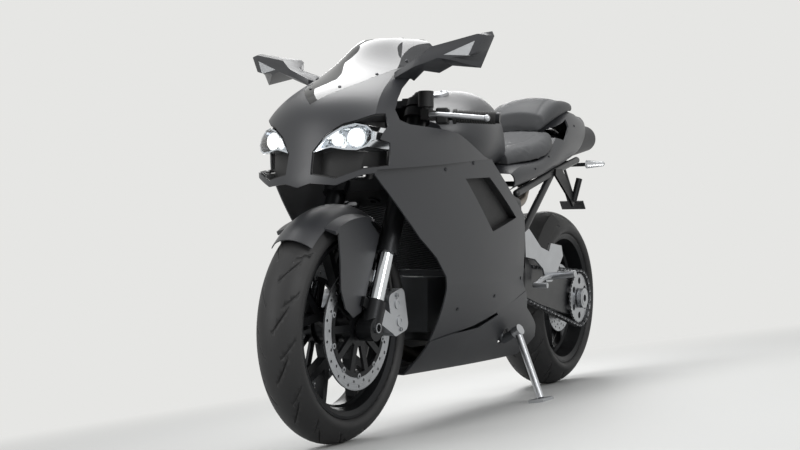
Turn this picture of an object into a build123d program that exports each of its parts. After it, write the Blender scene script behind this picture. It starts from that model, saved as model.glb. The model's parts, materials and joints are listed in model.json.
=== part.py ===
from build123d import *
import math
import os

# Sport motorcycle with a full fairing, parked on its side stand.
# Working frame: X forward, Y to the rider's left, Z up, floor at Z 0, origin midway
# between the axles. Every piece is made upright there and leaned over at the end.

# Wheels and steering
WHEELBASE = 1430.0
RAKE = 24.5
TRAIL = 97.0
LEAN = 9.0
FRONT_RADIUS = 300.0
REAR_RADIUS = 315.0
STEER_LIMIT = 27.0
SEAT_GAP = 0.3

SIN_RAKE = math.sin(math.radians(RAKE))
COS_RAKE = math.cos(math.radians(RAKE))
FRONT_AXLE = Vector(WHEELBASE / 2, 0, FRONT_RADIUS)
REAR_AXLE = Vector(-WHEELBASE / 2, 0, REAR_RADIUS)
STEER_FOOT = Vector(FRONT_AXLE.X + TRAIL, 0, 0)
STEER_DIR = Vector(-SIN_RAKE, 0, COS_RAKE)
# Fork frame: x square to the legs and forward, y left, z up the legs from the axle
FORK = Plane(origin=FRONT_AXLE, x_dir=(COS_RAKE, 0, SIN_RAKE), z_dir=STEER_DIR)
FORK_OFFSET = FRONT_RADIUS * SIN_RAKE - TRAIL * COS_RAKE
LEG_Y = 100.0
SIDES = (1, -1)

# Fork heights up the legs
FOOT_TOP = 72.0
TUBE_LOW = 205.0
LOWER_YOKE = 400.0
UPPER_YOKE = 646.0
CLIP_HEIGHT = 616.0
FORK_TOP = 672.0
STANCHION_R = 21.5
TUBE_R = 27.0
AXLE_R = 12.5
AXLE_BORE = 10.0

# Rear drive
CHAIN_Y = 126.0
PIVOT = Vector(-190, 0, 400)
REAR_SPROCKET_R = 90.0
FRONT_SPROCKET = Vector(-122, CHAIN_Y, 400)
FRONT_SPROCKET_R = 36.0
REAR_BORE = 13.0

# Fairing
WALL = 4.0
NOSE_TOP = 1082.0


def rod(start, end, radius, end_radius=None):
    start = Vector(*start)
    end = Vector(*end)
    way = end - start
    plane = Plane(origin=start, z_dir=way)
    if end_radius is None:
        return Solid.make_cylinder(radius, way.length, plane)
    return Solid.make_cone(radius, end_radius, way.length, plane)


def pipe(points, radius, bend):
    path = FilletPolyline(*points, radius=bend)
    return sweep(Plane(origin=path @ 0, z_dir=path % 0) * Circle(radius), path=path)


def ring(outer, inner, width):
    return Rot(90, 0, 0) * (Cylinder(outer, width) - Cylinder(inner, width + 1))


# Outlines are run anticlockwise so that each prism grows along its plane's normal
def anticlockwise(points):
    area = sum(a[0] * b[1] - b[0] * a[1] for a, b in zip(points, points[1:] + points[:1]))
    return points if area > 0 else points[::-1]


def side_prism(points, y_low, y_high):
    face = Plane.XZ * Polygon(*anticlockwise(points))
    return Pos(0, y_high, 0) * extrude(face, amount=y_high - y_low)


def front_prism(points, x_low, x_high):
    face = Plane.YZ * Polygon(*anticlockwise(points))
    return Pos(x_low, 0, 0) * extrude(face, amount=x_high - x_low)


def top_prism(points, z_low, z_high):
    face = Polygon(*anticlockwise(points))
    return Pos(0, 0, z_low) * extrude(face, amount=z_high - z_low)


def both(shape):
    return [shape, mirror(shape, about=Plane.XZ)]


def joined(shapes):
    total = shapes[0]
    for shape in shapes[1:]:
        total = total + shape
    return total


def block(x_low, x_high, y_low, y_high, z_low, z_high):
    size = (x_high - x_low, y_high - y_low, z_high - z_low)
    middle = Pos((x_low + x_high) / 2, (y_low + y_high) / 2, (z_low + z_high) / 2)
    return middle * Box(*size)


def in_fork(shape):
    return FORK.location * shape


# Hull: cross-sections along X, each of a flat floor, two bowed flanks and a crowned top
def hull(table, grow=0.0):
    wires = []
    for x, floor_y, floor_z, waist_y, waist_z, shoulder_y, shoulder_z, crown_z in table:
        floor_y += grow
        floor_z -= grow
        waist_y += grow
        shoulder_y += 0.7 * grow
        shoulder_z += 0.7 * grow
        crown_z += grow
        wires.append(Wire([
            Line((x, -floor_y, floor_z), (x, floor_y, floor_z)),
            ThreePointArc((x, floor_y, floor_z), (x, waist_y, waist_z), (x, shoulder_y, shoulder_z)),
            ThreePointArc((x, shoulder_y, shoulder_z), (x, 0, crown_z), (x, -shoulder_y, shoulder_z)),
            ThreePointArc((x, -shoulder_y, shoulder_z), (x, -waist_y, waist_z), (x, -floor_y, floor_z)),
        ]))
    return Solid.make_loft(wires)


# Tyres: radius, shoulder, bulge, lip by the rim flange, bead seat
# name: (radius, shoulder_y, shoulder_r, bulge_y, bulge_r, lip_y, lip_r, bead_y, seat_r)
TYRES = {
    "front": (FRONT_RADIUS, 58.0, 263.0, 60.5, 247.0, 49.0, 234.5, 43.7, 222.3),
    "rear": (REAR_RADIUS, 86.0, 262.9, 90.5, 247.0, 77.0, 234.5, 71.7, 222.3),
}


def tyre(name):
    radius, shoulder_y, shoulder_r, bulge_y, bulge_r, lip_y, lip_r, bead_y, seat_r = TYRES[name]
    edges = [ThreePointArc((0, -shoulder_y, shoulder_r), (0, 0, radius), (0, shoulder_y, shoulder_r))]
    edges.append(ThreePointArc((0, shoulder_y, shoulder_r), (0, bulge_y, bulge_r), (0, lip_y, lip_r)))
    corners = [(lip_y, lip_r), (bead_y, lip_r), (bead_y, seat_r)]
    corners += [(-y, r) for y, r in reversed(corners)]
    for (y0, r0), (y1, r1) in zip(corners, corners[1:]):
        edges.append(Line((0, y0, r0), (0, y1, r1)))
    edges.append(ThreePointArc((0, -lip_y, lip_r), (0, -bulge_y, bulge_r), (0, -shoulder_y, shoulder_r)))
    return revolve(Face(Wire(edges)), axis=Axis.Y)


# Rims: a flanged barrel, a hub and five forked spokes
SPOKES = 5
FLANGE_R = 233.0
SEAT_R = 222.0
WELL_R = 208.0
RIM_THICK = 8.0


def rim(half, hub_r, hub_low, hub_high, bore, spoke_low, spoke_high):
    outer = [(-half, FLANGE_R), (-half + 5, FLANGE_R), (-half + 6, SEAT_R), (-18, SEAT_R - 1), (-12, WELL_R)]
    outer += [(-y, r) for y, r in reversed(outer)]
    inner = [(-half, FLANGE_R - 7), (-half + 7, SEAT_R - RIM_THICK), (-20, WELL_R - 2), (-13, WELL_R - RIM_THICK)]
    inner += [(-y, r) for y, r in reversed(inner)]
    barrel = revolve(Plane.YZ * Polygon(*outer, *reversed(inner)), axis=Axis.Y)
    hub = Pos(0, (hub_low + hub_high) / 2, 0) * (Rot(90, 0, 0) * Cylinder(hub_r, hub_high - hub_low))
    spoke_mid = (spoke_low + spoke_high) / 2
    spoke_half = (spoke_high - spoke_low) / 2
    fork_r = 100.0
    # spoke outline: (radius, offset square to the spoke)
    stem = [(hub_r - 6, 17), (fork_r, 12), (WELL_R - 4, 62), (WELL_R - 4, 44), (fork_r + 26, 0)]
    outline = stem + [(r, -w) for r, w in reversed(stem[:-1])]
    whole = barrel + hub
    for turn in range(SPOKES):
        angle = math.radians(turn * 360 / SPOKES + 90)
        along = (math.cos(angle), math.sin(angle))
        points = [(r * along[0] - w * along[1], r * along[1] + w * along[0]) for r, w in outline]
        whole = whole + side_prism(points, spoke_mid - spoke_half, spoke_mid + spoke_half)
    return whole - Pos(0, hub_low, 0) * (Rot(90, 0, 0) * Cylinder(bore, 4 * (hub_high - hub_low)))


# Brake rotors: drilled rings on dark spider carriers
FRONT_ROTOR_R = 160.0
FRONT_ROTOR_IN = 128.0
FRONT_ROTOR_Y = 66.0
FRONT_HUB_HALF = 46.0
REAR_ROTOR_R = 122.0
REAR_ROTOR_IN = 86.0
REAR_ROTOR_Y = 50.0
ROTOR_THICK = 5.0
HOLE_R = 4.0
HOLES_PER_ROW = 18


def rotor(outer, inner, y):
    plate = ring(outer, inner, ROTOR_THICK)
    width = outer - inner
    for row, part in enumerate((0.32, 0.7)):
        radius = inner + part * width
        for hole in range(HOLES_PER_ROW):
            angle = 360 * (hole + 0.5 * row) / HOLES_PER_ROW
            plate = plate - Rot(0, angle, 0) * Pos(radius, 0, 0) * Rot(90, 0, 0) * Cylinder(HOLE_R, 3 * ROTOR_THICK)
    return Pos(0, y, 0) * plate


def carrier(outer, hub_r, arms, y_low, y_high, plate_thick, bore):
    arm = Pos((outer + hub_r) / 2 - 6, 0, 0) * Box(outer - hub_r - 4, plate_thick, 18)
    spider = ring(outer, outer - 12, plate_thick)
    for turn in range(arms):
        spider = spider + Rot(0, 360 * turn / arms, 0) * arm
    plate_y = y_high - plate_thick / 2
    boss = Pos(0, (y_low + y_high) / 2, 0) * ring(hub_r, bore, y_high - y_low)
    return Pos(0, plate_y, 0) * spider + boss


def front_wheel():
    place = Pos(FRONT_AXLE)
    discs = [rotor(FRONT_ROTOR_R, FRONT_ROTOR_IN, side * FRONT_ROTOR_Y) for side in SIDES]
    spider = carrier(FRONT_ROTOR_IN - SEAT_GAP, 48, 10, FRONT_HUB_HALF, FRONT_ROTOR_Y + 4, 8, 20)
    return {
        "front_tyre": [place * tyre("front")],
        "front_rim": [place * rim(50, 38, -FRONT_HUB_HALF, FRONT_HUB_HALF, AXLE_R + SEAT_GAP, -13, 13)],
        "front_rotors": [place * disc for disc in discs],
        "rotor_carriers": [place * half for half in both(spider)],
    }


# Rear wheel on a single-sided arm: hub to the right, rotor, carrier and sprocket to the left
REAR_SHAFT_R = 25.0
HUB_RING_R = 78.0
SHAFT_LEFT = 150.0
SHAFT_RIGHT = -62.0
SPROCKET_THICK = 6.0
TEETH = 36
GULLET_R = 5.2


def rear_wheel():
    place = Pos(REAR_AXLE)
    length = SHAFT_LEFT - SHAFT_RIGHT
    shaft = Pos(0, (SHAFT_LEFT + SHAFT_RIGHT) / 2, 0) * ring(REAR_SHAFT_R, REAR_BORE, length)
    nut = Pos(0, SHAFT_LEFT - 9, 0) * ring(36, REAR_SHAFT_R - 1, 16)
    spider = carrier(REAR_ROTOR_IN - SEAT_GAP, 46, 6, 40, REAR_ROTOR_Y + 3, 7, REAR_SHAFT_R + SEAT_GAP)
    disc = rotor(REAR_ROTOR_R, REAR_ROTOR_IN, REAR_ROTOR_Y)
    plate = Pos(0, CHAIN_Y, 0) * ring(REAR_SPROCKET_R, REAR_SHAFT_R + SEAT_GAP, SPROCKET_THICK)
    for turn in range(6):
        window = Pos(62, CHAIN_Y, 0) * (Rot(90, 0, 0) * Cylinder(12, 20))
        plate = plate - Rot(0, 60 * turn + 30, 0) * window
    for tooth in range(TEETH):
        gullet = Pos(REAR_SPROCKET_R, CHAIN_Y, 0) * (Rot(90, 0, 0) * Cylinder(GULLET_R, 20))
        plate = plate - Rot(0, 360 * tooth / TEETH, 0) * gullet
    return {
        "rear_tyre": [place * tyre("rear")],
        "rear_rim": [place * rim(78, 52, -46, 40, REAR_SHAFT_R + SEAT_GAP, -40, -8)],
        "rear_rotor": [place * disc, place * spider],
        "rear_sprocket": [place * plate],
        "rear_axle": [place * (shaft + nut)],
    }


# Fork, yokes and handlebars, in the fork frame
CALIPER_IN = 93.0
CALIPER_OUT = 178.0
CALIPER_TURN = 38.5
LUG_FACE = 30.0
ROTOR_CLEAR = 5.5


def fork():
    tubes = []
    stanchions = []
    feet = []
    for side in SIDES:
        leg = Pos(0, side * LEG_Y, 0)
        low = TUBE_LOW
        tube = rod((0, 0, low), (0, 0, FORK_TOP), TUBE_R) + rod((0, 0, low), (0, 0, low + 14), TUBE_R + 2)
        cap = rod((0, 0, FORK_TOP), (0, 0, FORK_TOP + 10), TUBE_R - 5)
        tubes.append(leg * (tube + cap))
        stanchions.append(leg * rod((0, 0, FOOT_TOP), (0, 0, low), STANCHION_R))
        foot = rod((0, 0, -6), (0, 0, FOOT_TOP), TUBE_R) + Pos(0, 0, -4) * (Rot(90, 0, 0) * Cylinder(30, 44))
        foot = foot + block(-LUG_FACE, 0, -16, 16, 18, 66)
        tab_y = sorted(side * (PLATE_OUT + SEAT_GAP - LEG_Y + shift) for shift in (0, 10))
        foot = foot + block(18, 50, *tab_y, 40, 66)
        foot = foot - Rot(90, 0, 0) * Cylinder(AXLE_R + SEAT_GAP, 90)
        feet.append(leg * foot)
    return tubes, stanchions, feet


def yoke(z_low, z_high, reach):
    bar = block(-FORK_OFFSET - 32, 20, -62, 62, z_low, z_high)
    for side in SIDES:
        bar = bar + rod((0, side * LEG_Y, z_low), (0, side * LEG_Y, z_high), reach)
        bar = bar + block(-36, 30, *sorted((side * 58, side * LEG_Y)), z_low, z_high)
    for side in SIDES:
        bar = bar - rod((0, side * LEG_Y, z_low - 1), (0, side * LEG_Y, z_high + 1), TUBE_R + SEAT_GAP)
    return bar


HEAD_LOW = LOWER_YOKE + 24
HEAD_HIGH = UPPER_YOKE - 20
HEAD_R = 34.0
HEAD_BORE = 23.0
STEM_R = 17.0
STEM_BORE = 9.0


def yokes():
    stem = rod((-FORK_OFFSET, 0, LOWER_YOKE - 24), (-FORK_OFFSET, 0, UPPER_YOKE + 18), STEM_R)
    bore = rod((-FORK_OFFSET, 0, LOWER_YOKE - 30), (-FORK_OFFSET, 0, UPPER_YOKE + 30), STEM_BORE)
    whole = yoke(LOWER_YOKE - 20, LOWER_YOKE + 16, 38) + yoke(UPPER_YOKE - 12, UPPER_YOKE + 12, 38)
    for low in (HEAD_LOW, HEAD_HIGH - 18):
        stem = stem + rod((-FORK_OFFSET, 0, low), (-FORK_OFFSET, 0, low + 18), HEAD_BORE - SEAT_GAP)
    return whole + stem - bore


def caliper():
    depth = CALIPER_OUT - CALIPER_IN
    body = fillet(Box(depth, 82, 116).edges().filter_by(Axis.Y), 20)
    slot_depth = FRONT_ROTOR_R + ROTOR_CLEAR - CALIPER_IN + 20
    slot = Pos(depth / 2 + 20 - slot_depth / 2, -4, 0) * Box(slot_depth, 2 * ROTOR_CLEAR + ROTOR_THICK, 140)
    middle = (CALIPER_OUT + CALIPER_IN) / 2
    turn = math.radians(CALIPER_TURN)
    centre = Pos(-middle * math.cos(turn), FRONT_ROTOR_Y + 4, middle * math.sin(turn))
    body = centre * Rot(0, CALIPER_TURN, 0) * (body - slot)
    arm = block(-100, -LUG_FACE - SEAT_GAP, 84, 112, 22, 64)
    return body + arm


# Bars in the working frame, left hand; the right hand is its mirror image
BAR_ROOT = Vector(468, 122, 862)
BAR_END = Vector(404, 322, 850)
BAR_R = 11.0
GRIP_R = 16.5
PLUG_R = 15.0
GRIP_FROM = 0.40
GRIP_TO = 0.95


def along_bar(part):
    return BAR_ROOT + (BAR_END - BAR_ROOT) * part


STUB_START = in_fork(Vertex(12, LEG_Y + 42, CLIP_HEIGHT)).center()
STUB_R = 13.0


def bar_left():
    clamp = rod((0, LEG_Y, CLIP_HEIGHT - 13), (0, LEG_Y, CLIP_HEIGHT + 13), 37)
    clamp = clamp - rod((0, LEG_Y, CLIP_HEIGHT - 20), (0, LEG_Y, CLIP_HEIGHT + 20), TUBE_R + SEAT_GAP)
    stub = rod(STUB_START, along_bar(0.1), STUB_R)
    bar = rod(along_bar(0.05), along_bar(GRIP_TO), BAR_R)
    plug = rod(along_bar(GRIP_TO), BAR_END, PLUG_R)
    return in_fork(clamp) + stub + bar + plug


def grip_left():
    sleeve = rod(along_bar(GRIP_FROM), along_bar(GRIP_TO), GRIP_R)
    collar = rod(along_bar(GRIP_FROM), along_bar(GRIP_FROM + 0.04), GRIP_R + 4)
    hole = rod(along_bar(GRIP_FROM - 0.1), along_bar(GRIP_TO + 0.1), BAR_R)
    return sleeve + collar - hole


LEVER_PIVOT = Vector(508, 163.6, 857)
LEVER_KNEE = Vector(494, 225, 854)
LEVER_TIP = Vector(470, 314, 844)


def lever_left():
    straight = LEVER_PIVOT + Vector(0, 26, 0)
    blade = pipe([LEVER_PIVOT, straight, LEVER_KNEE, LEVER_TIP], 6.5, 20)
    ball = Pos(LEVER_TIP) * Sphere(9)
    return blade + ball


def controls_left():
    middle = along_bar(0.26)
    switch = Pos(middle) * Rot(0, 0, 17) * Box(38, 34, 44)
    switch = fillet(switch.edges(), 6)
    perch = block(462, 514, 139, LEVER_PIVOT.Y - SEAT_GAP, 846, 872)
    hole = rod(along_bar(-0.1), along_bar(0.6), BAR_R + SEAT_GAP)
    cup = rod((500, 148, 872), (500, 148, 880), 9) + rod((500, 148, 880), (500, 148, 922), 21)
    stub = rod(STUB_START, along_bar(0.1), STUB_R + SEAT_GAP)
    return switch + perch + cup - hole - stub


# Front mudguard: an arched blade with deep plates ahead of the legs
BLADE_IN = 313.0
BLADE_THICK = 3.0
BLADE_HALF = 57.0
BLADE_DROP = 285.0
BLADE_FROM = 45.0
BLADE_TO = 128.0
PLATE_IN = 84.0
PLATE_OUT = 88.0


def front_fender():
    inner = ThreePointArc((0, -BLADE_HALF, BLADE_DROP), (0, 0, BLADE_IN), (0, BLADE_HALF, BLADE_DROP))
    edge = BLADE_HALF + BLADE_THICK
    top = BLADE_IN + BLADE_THICK
    outer = ThreePointArc((0, edge, BLADE_DROP), (0, 0, top), (0, -edge, BLADE_DROP))
    lips = [Line((0, BLADE_HALF, BLADE_DROP), (0, edge, BLADE_DROP))]
    lips.append(Line((0, -edge, BLADE_DROP), (0, -BLADE_HALF, BLADE_DROP)))
    profile = Face(Wire([inner, lips[0], outer, lips[1]]))
    # the profile stands straight up; turning about Y by a positive angle carries it forward
    start = Rot(0, 90 - BLADE_TO, 0) * profile
    blade = revolve(start, axis=Axis.Y, revolution_arc=BLADE_TO - BLADE_FROM)
    shelf = Plane.YZ * Polygon((PLATE_OUT, BLADE_DROP - 4), (BLADE_HALF - 1, BLADE_DROP + 5), (BLADE_HALF, BLADE_DROP),
                               (PLATE_IN, BLADE_DROP - 14), (PLATE_OUT, BLADE_DROP - 14))
    shelf = revolve(Rot(0, 90 - 97, 0) * shelf, axis=Axis.Y, revolution_arc=37)
    outline = [(126, 245), (117, 170), (115, 100), (93, 52), (57, 28), (22, 40), (-2, 80), (-33, 150), (-70, 235)]
    outline += [(0, 290), (80, 290)]
    plate = side_prism(outline, PLATE_IN, PLATE_OUT)
    plate = plate & (Rot(90, 0, 0) * Cylinder(BLADE_DROP - 8, 400))
    sides = shelf + plate
    return Pos(FRONT_AXLE) * (blade + sides + mirror(sides, about=Plane.XZ))


# Brake hoses, in the fork frame: down behind each leg from the lower yoke to the caliper's upper end
HOSE = [(-50, 56, LOWER_YOKE - 20 - SEAT_GAP), (-50, 56, 340), (-46, 84, 270), (-44, 92, 215), (-36, 95, 172),
        (-68.2, 95, 131.7)]
HOSE_R = 4.5


def steering():
    tubes, stanchions, feet = fork()
    calipers = both(caliper())
    axle = Pos(FRONT_AXLE) * ring(AXLE_R, AXLE_BORE, 2 * LEG_Y + 56)
    return {
        "yokes": [in_fork(yokes())],
        "fork_tubes": [in_fork(tube) for tube in tubes],
        "fork_stanchions": [in_fork(stanchion) for stanchion in stanchions],
        "fork_feet": [in_fork(foot) for foot in feet],
        "front_axle": [axle],
        "clip_ons": both(bar_left()),
        "grips": both(grip_left()),
        "levers": both(lever_left()),
        "bar_controls": both(controls_left()),
        "front_fender": [front_fender()],
        "front_calipers": [in_fork(half) for half in calipers],
        "brake_hoses": [in_fork(hose) for hose in both(pipe(HOSE, HOSE_R, 14))],
    }


# Upper cowl and screen: plan sections of a rounded nose and two bowed legs
# (z, nose_x, shoulder_x, shoulder_y, side_x, side_y, rear_x, rear_y)
COWL = [
    (640, 892, 842, 148, 640, 196, 240, 230),
    (730, 882, 828, 164, 640, 204, 240, 228),
    (800, 866, 806, 166, 610, 203, 240, 214),
    (865, 832, 762, 153, 565, 195, 300, 206),
    (940, 718, 652, 127, 512, 175, 380, 192),
    (1010, 603, 550, 100, 470, 147, 390, 172),
    (NOSE_TOP, 495, 456, 62, 425, 88, 395, 102),
]


def cowl_body(inset):
    wires = []
    for z, nose_x, shoulder_x, shoulder_y, side_x, side_y, rear_x, rear_y in COWL:
        if inset and z == COWL[0][0]:
            z -= 3
        if inset and z == COWL[-1][0]:
            z += 3
        nose = (nose_x - inset, 0, z)
        left = [(shoulder_x - 0.7 * inset, shoulder_y - 0.7 * inset, z)]
        left.append((side_x - 0.3 * inset, side_y - inset, z))
        left.append((rear_x - 2 * inset, rear_y - inset, z))
        right = [(x, -y, z) for x, y, z in left]
        wires.append(Wire([
            ThreePointArc(right[0], nose, left[0]),
            ThreePointArc(left[0], left[1], left[2]),
            Line(left[2], right[2]),
            ThreePointArc(right[2], right[1], right[0]),
        ]))
    return Solid.make_loft(wires)


# Side views of the cowl, the screen and the eye cut in the nose: corner points
COWL_SIDE = [(920, 640), (800, 640), (795, 695), (700, 704), (537, 721), (357, 742), (258, 752), (294, 758),
             (346, 778), (396, 797), (439, 810), (499, 815), (666, 816), (705, 824), (712, 850), (684, 881),
             (647, 911), (593, 943), (525, 973), (440, 1004), (452, 1040), (700, 1040), (930, 900)]
SCREEN_SIDE = [(930, 840), (800, 850), (470, 1020), (432, 1050), (425, 1095), (930, 1095)]
# top view of the screen's rounded front: tip, then out and back along its left edge
SCREEN_TIP = (836, 0)
SCREEN_BEND = (798, 42)
SCREEN_SIDE_FRONT = (690, 90)
SCREEN_SIDE_MID = (560, 122)
SCREEN_SIDE_REAR = (380, 136)
# front view of the nose's lower edge, left half
CHIN = [(0, 650), (36, 660), (98, 655), (165, 686), (210, 700), (400, 700)]
# front view, left eye: lamp lens, and the eye with the slot behind the lamp and the duct under it
LAMP = [(38, 737), (66, 776), (100, 800), (128, 808), (152, 803), (166, 788), (168, 768), (158, 750), (138, 741),
        (112, 742), (80, 748), (54, 742)]
EYE = [(34, 738), (64, 781), (100, 807), (130, 817), (178, 842), (194, 838), (177, 806), (174, 770), (196, 752),
       (200, 716), (158, 696), (98, 671), (36, 682)]
LINER_FLOOR = 704.0
EYE_BACK = 752.0


def front_cut(points, margin, x_low, x_high):
    face = Polygon(*anticlockwise(points))
    if margin:
        face = offset(face, amount=margin, kind=Kind.INTERSECTION)
    return Pos(x_low, 0, 0) * extrude(Plane.YZ * face, amount=x_high - x_low)


def screen_plan(margin):
    tip = (SCREEN_TIP[0] + margin, 0)
    left = [SCREEN_BEND, SCREEN_SIDE_FRONT, SCREEN_SIDE_MID, SCREEN_SIDE_REAR]
    left = [(x + 0.5 * margin, y + margin) for x, y in left]
    right = [(x, -y) for x, y in left]
    face = Face(Wire([
        ThreePointArc(tip, left[0], left[1]),
        ThreePointArc(left[1], left[2], left[3]),
        Line(left[3], right[3]),
        ThreePointArc(right[3], right[2], right[1]),
        ThreePointArc(right[1], right[0], tip),
    ]))
    return Pos(0, 0, 830) * extrude(face, amount=270)


def nose():
    outer = cowl_body(0)
    inner = cowl_body(WALL)
    shell = outer - inner
    chin = CHIN + [(400, 1100), (-400, 1100)] + [(-y, z) for y, z in reversed(CHIN[1:])]
    cowl = (shell & side_prism(COWL_SIDE, -400, 400) & front_prism(chin, 200, 950)) - screen_plan(SEAT_GAP)
    screen = shell & side_prism(SCREEN_SIDE, -400, 400) & screen_plan(0)
    for side in SIDES:
        cowl = cowl - front_cut([(side * y, z) for y, z in EYE], 0, EYE_BACK, 940)
    tray_body = cowl_body(WALL + SEAT_GAP) - cowl_body(46)
    hollow = cowl_body(WALL - 1) - cowl_body(43)
    eye_fit = front_cut(EYE, -SEAT_GAP, EYE_BACK - 40, 940)
    lamp_cut = front_cut(LAMP, 0, 700, 940) & eye_fit
    lamp_core = front_cut(LAMP, -4, 690, 950) & front_cut(EYE, -4, 690, 950)
    lamp_room = front_cut(LAMP, SEAT_GAP, 640, 950)
    eye_core = front_cut(EYE, -3, EYE_BACK - 50, 950)
    lens = shell & lamp_cut
    tray = (tray_body & lamp_cut) - (hollow & lamp_core)
    liner = (tray_body & eye_fit) - (hollow & eye_core) - lamp_room
    liner = liner - block(600, 795, 120, 300, 600, LINER_FLOOR)
    return cowl, screen, both(lens), both(tray), both(liner)


# Flank and belly: cross-sections along X, a bowed upper wall and a bowed lower wall to the keel
# (x, top_y, upper_y, mid_y, low_y, keel_y) at the heights TOP_Z, UPPER_Z, MID_Z, LOW_Z, KEEL_Z
TOP_Z, UPPER_Z, MID_Z, LOW_Z, KEEL_Z = 760.0, 580.0, 400.0, 270.0, 147.0
FLANK = [
    (810, 146, 138, 122, 92, 40),
    (620, 196, 186, 166, 124, 40),
    (430, 220, 211, 188, 134, 40),
    (230, 230, 223, 205, 156, 58),
    (0, 224, 216, 198, 160, 72),
    (-150, 206, 200, 184, 156, 74),
    (-400, 150, 146, 138, 118, 60),
]
FLANK_SIDE = [(790, 695.1), (700, 703.6), (537, 720.6), (357, 741.6), (256, 751.8), (235, 737), (123, 670), (-10, 596),
              (-33, 523), (-48, 400), (-90, 366.3), (79, 317.4), (232, 276.4), (411, 246.4), (426, 245.4), (436, 330),
              (444, 387), (458, 424), (515, 475), (600, 528), (660, 577), (712, 622), (757, 662)]
BELLY_SIDE = [(432, 130), (424, 200), (422, 245), (411, 246), (232, 276), (79, 317), (-94, 366), (-135, 310),
              (-300, 245), (-380, 200), (-260, 130)]
VENT = [(405, 690), (266, 700), (62, 590), (228, 547), (262, 574)]
VENT_LINER = [(425, 700), (264, 711), (38, 592), (231, 537), (270, 570)]
VENT_DEPTH = 24.0
VENT_FLOOR = 4.0
# slot scoop in the belly under the left and right split line
SCOOP = [(322, 259), (106, 309), (92, 300), (190, 268)]


def flank_solid(inset=0.0, wall=WALL):
    wires = []
    for x, *widths in FLANK:
        top_y, upper_y, mid_y, low_y, keel_y = (width - inset for width in widths)
        edges = [ThreePointArc((x, top_y, TOP_Z), (x, upper_y, UPPER_Z), (x, mid_y, MID_Z))]
        edges.append(ThreePointArc((x, mid_y, MID_Z), (x, low_y, LOW_Z), (x, keel_y, KEEL_Z)))
        edges.append(Line((x, keel_y, KEEL_Z), (x, keel_y - wall, KEEL_Z)))
        edges.append(ThreePointArc((x, keel_y - wall, KEEL_Z), (x, low_y - wall, LOW_Z + 1), (x, mid_y - wall, MID_Z)))
        edges.append(ThreePointArc((x, mid_y - wall, MID_Z), (x, upper_y - wall, UPPER_Z), (x, top_y - wall, TOP_Z)))
        edges.append(Line((x, top_y - wall, TOP_Z), (x, top_y, TOP_Z)))
        wires.append(Wire(edges))
    return Solid.make_loft(wires)


def belly_solid():
    wires = []
    for x, top_y, upper_y, mid_y, low_y, keel_y in FLANK[2:]:
        rise = KEEL_Z + WALL
        wires.append(Wire([
            ThreePointArc((x, mid_y, MID_Z), (x, low_y, LOW_Z), (x, keel_y, KEEL_Z)),
            Line((x, keel_y, KEEL_Z), (x, -keel_y, KEEL_Z)),
            ThreePointArc((x, -keel_y, KEEL_Z), (x, -low_y, LOW_Z), (x, -mid_y, MID_Z)),
            Line((x, -mid_y, MID_Z), (x, WALL - mid_y, MID_Z)),
            ThreePointArc((x, WALL - mid_y, MID_Z), (x, WALL - low_y, LOW_Z + 1), (x, WALL - keel_y, rise)),
            Line((x, WALL - keel_y, rise), (x, keel_y - WALL, rise)),
            ThreePointArc((x, keel_y - WALL, rise), (x, low_y - WALL, LOW_Z + 1), (x, mid_y - WALL, MID_Z)),
            Line((x, mid_y - WALL, MID_Z), (x, mid_y, MID_Z)),
        ]))
    return Solid.make_loft(wires)


# Side stand, swung out: leg from the pivot to a sole flat on the floor of the leaned machine
STAND_PIVOT = Vector(-20, 188, 245)
BRACKET_R = 14.0
KNUCKLE_R = 17.0
KNUCKLE_HALF = 13.0
STAND_LEG_R = 11.0
STAND_REST_Z = -1.1
SOLE = Vector(36, 292, STAND_REST_Z)
SOLE_SIZE = (84, 46, 9)
STAND_FOLDED = Vector(-0.985, 0.10, 0.14).normalized()
TO_LEAN = Rot(-LEAN, 0, 0)
FROM_LEAN = Rot(LEAN, 0, 0)
STAND_FOOT = (FROM_LEAN * Pos(SOLE.X, SOLE.Y, SOLE.Z + SOLE_SIZE[2])).position
STAND_DOWN = (STAND_FOOT - STAND_PIVOT).normalized()
STAND_AXIS = STAND_DOWN.cross(STAND_FOLDED).normalized()
STAND_SWING = STAND_DOWN.get_angle(STAND_FOLDED)
LUG_ELBOW = STAND_PIVOT - STAND_AXIS * 56
LUG_ROOT = Vector(-20, 70, 270)


def panels():
    flank = (flank_solid() & side_prism(FLANK_SIDE, 0, 400)) - side_prism(VENT, 0, 400)
    flank = flank + rod((290, 150 + FRAME_R + SEAT_GAP, 706), (290, 224, 706), 7)
    belly = (belly_solid() & side_prism(BELLY_SIDE, -400, 400)) - side_prism(SCOOP, 100, 300) - side_prism(SCOOP, -300, -100)
    belly = belly - rod(STAND_PIVOT - STAND_AXIS * 60, STAND_PIVOT + STAND_AXIS * 40, KNUCKLE_R + 8)
    belly = belly - rod(LUG_ELBOW, LUG_ROOT, BRACKET_R + 8)
    liner = flank_solid(WALL + SEAT_GAP, VENT_DEPTH) & side_prism(VENT_LINER, 0, 400)
    liner = liner - (flank_solid(WALL - 1, VENT_DEPTH - VENT_FLOOR) & side_prism(VENT, 0, 400))
    liner = liner - rod((290, 150, 706), (290, 240, 706), 7 + SEAT_GAP)
    return flank, mirror(flank, about=Plane.XZ), belly, both(liner)


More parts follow.
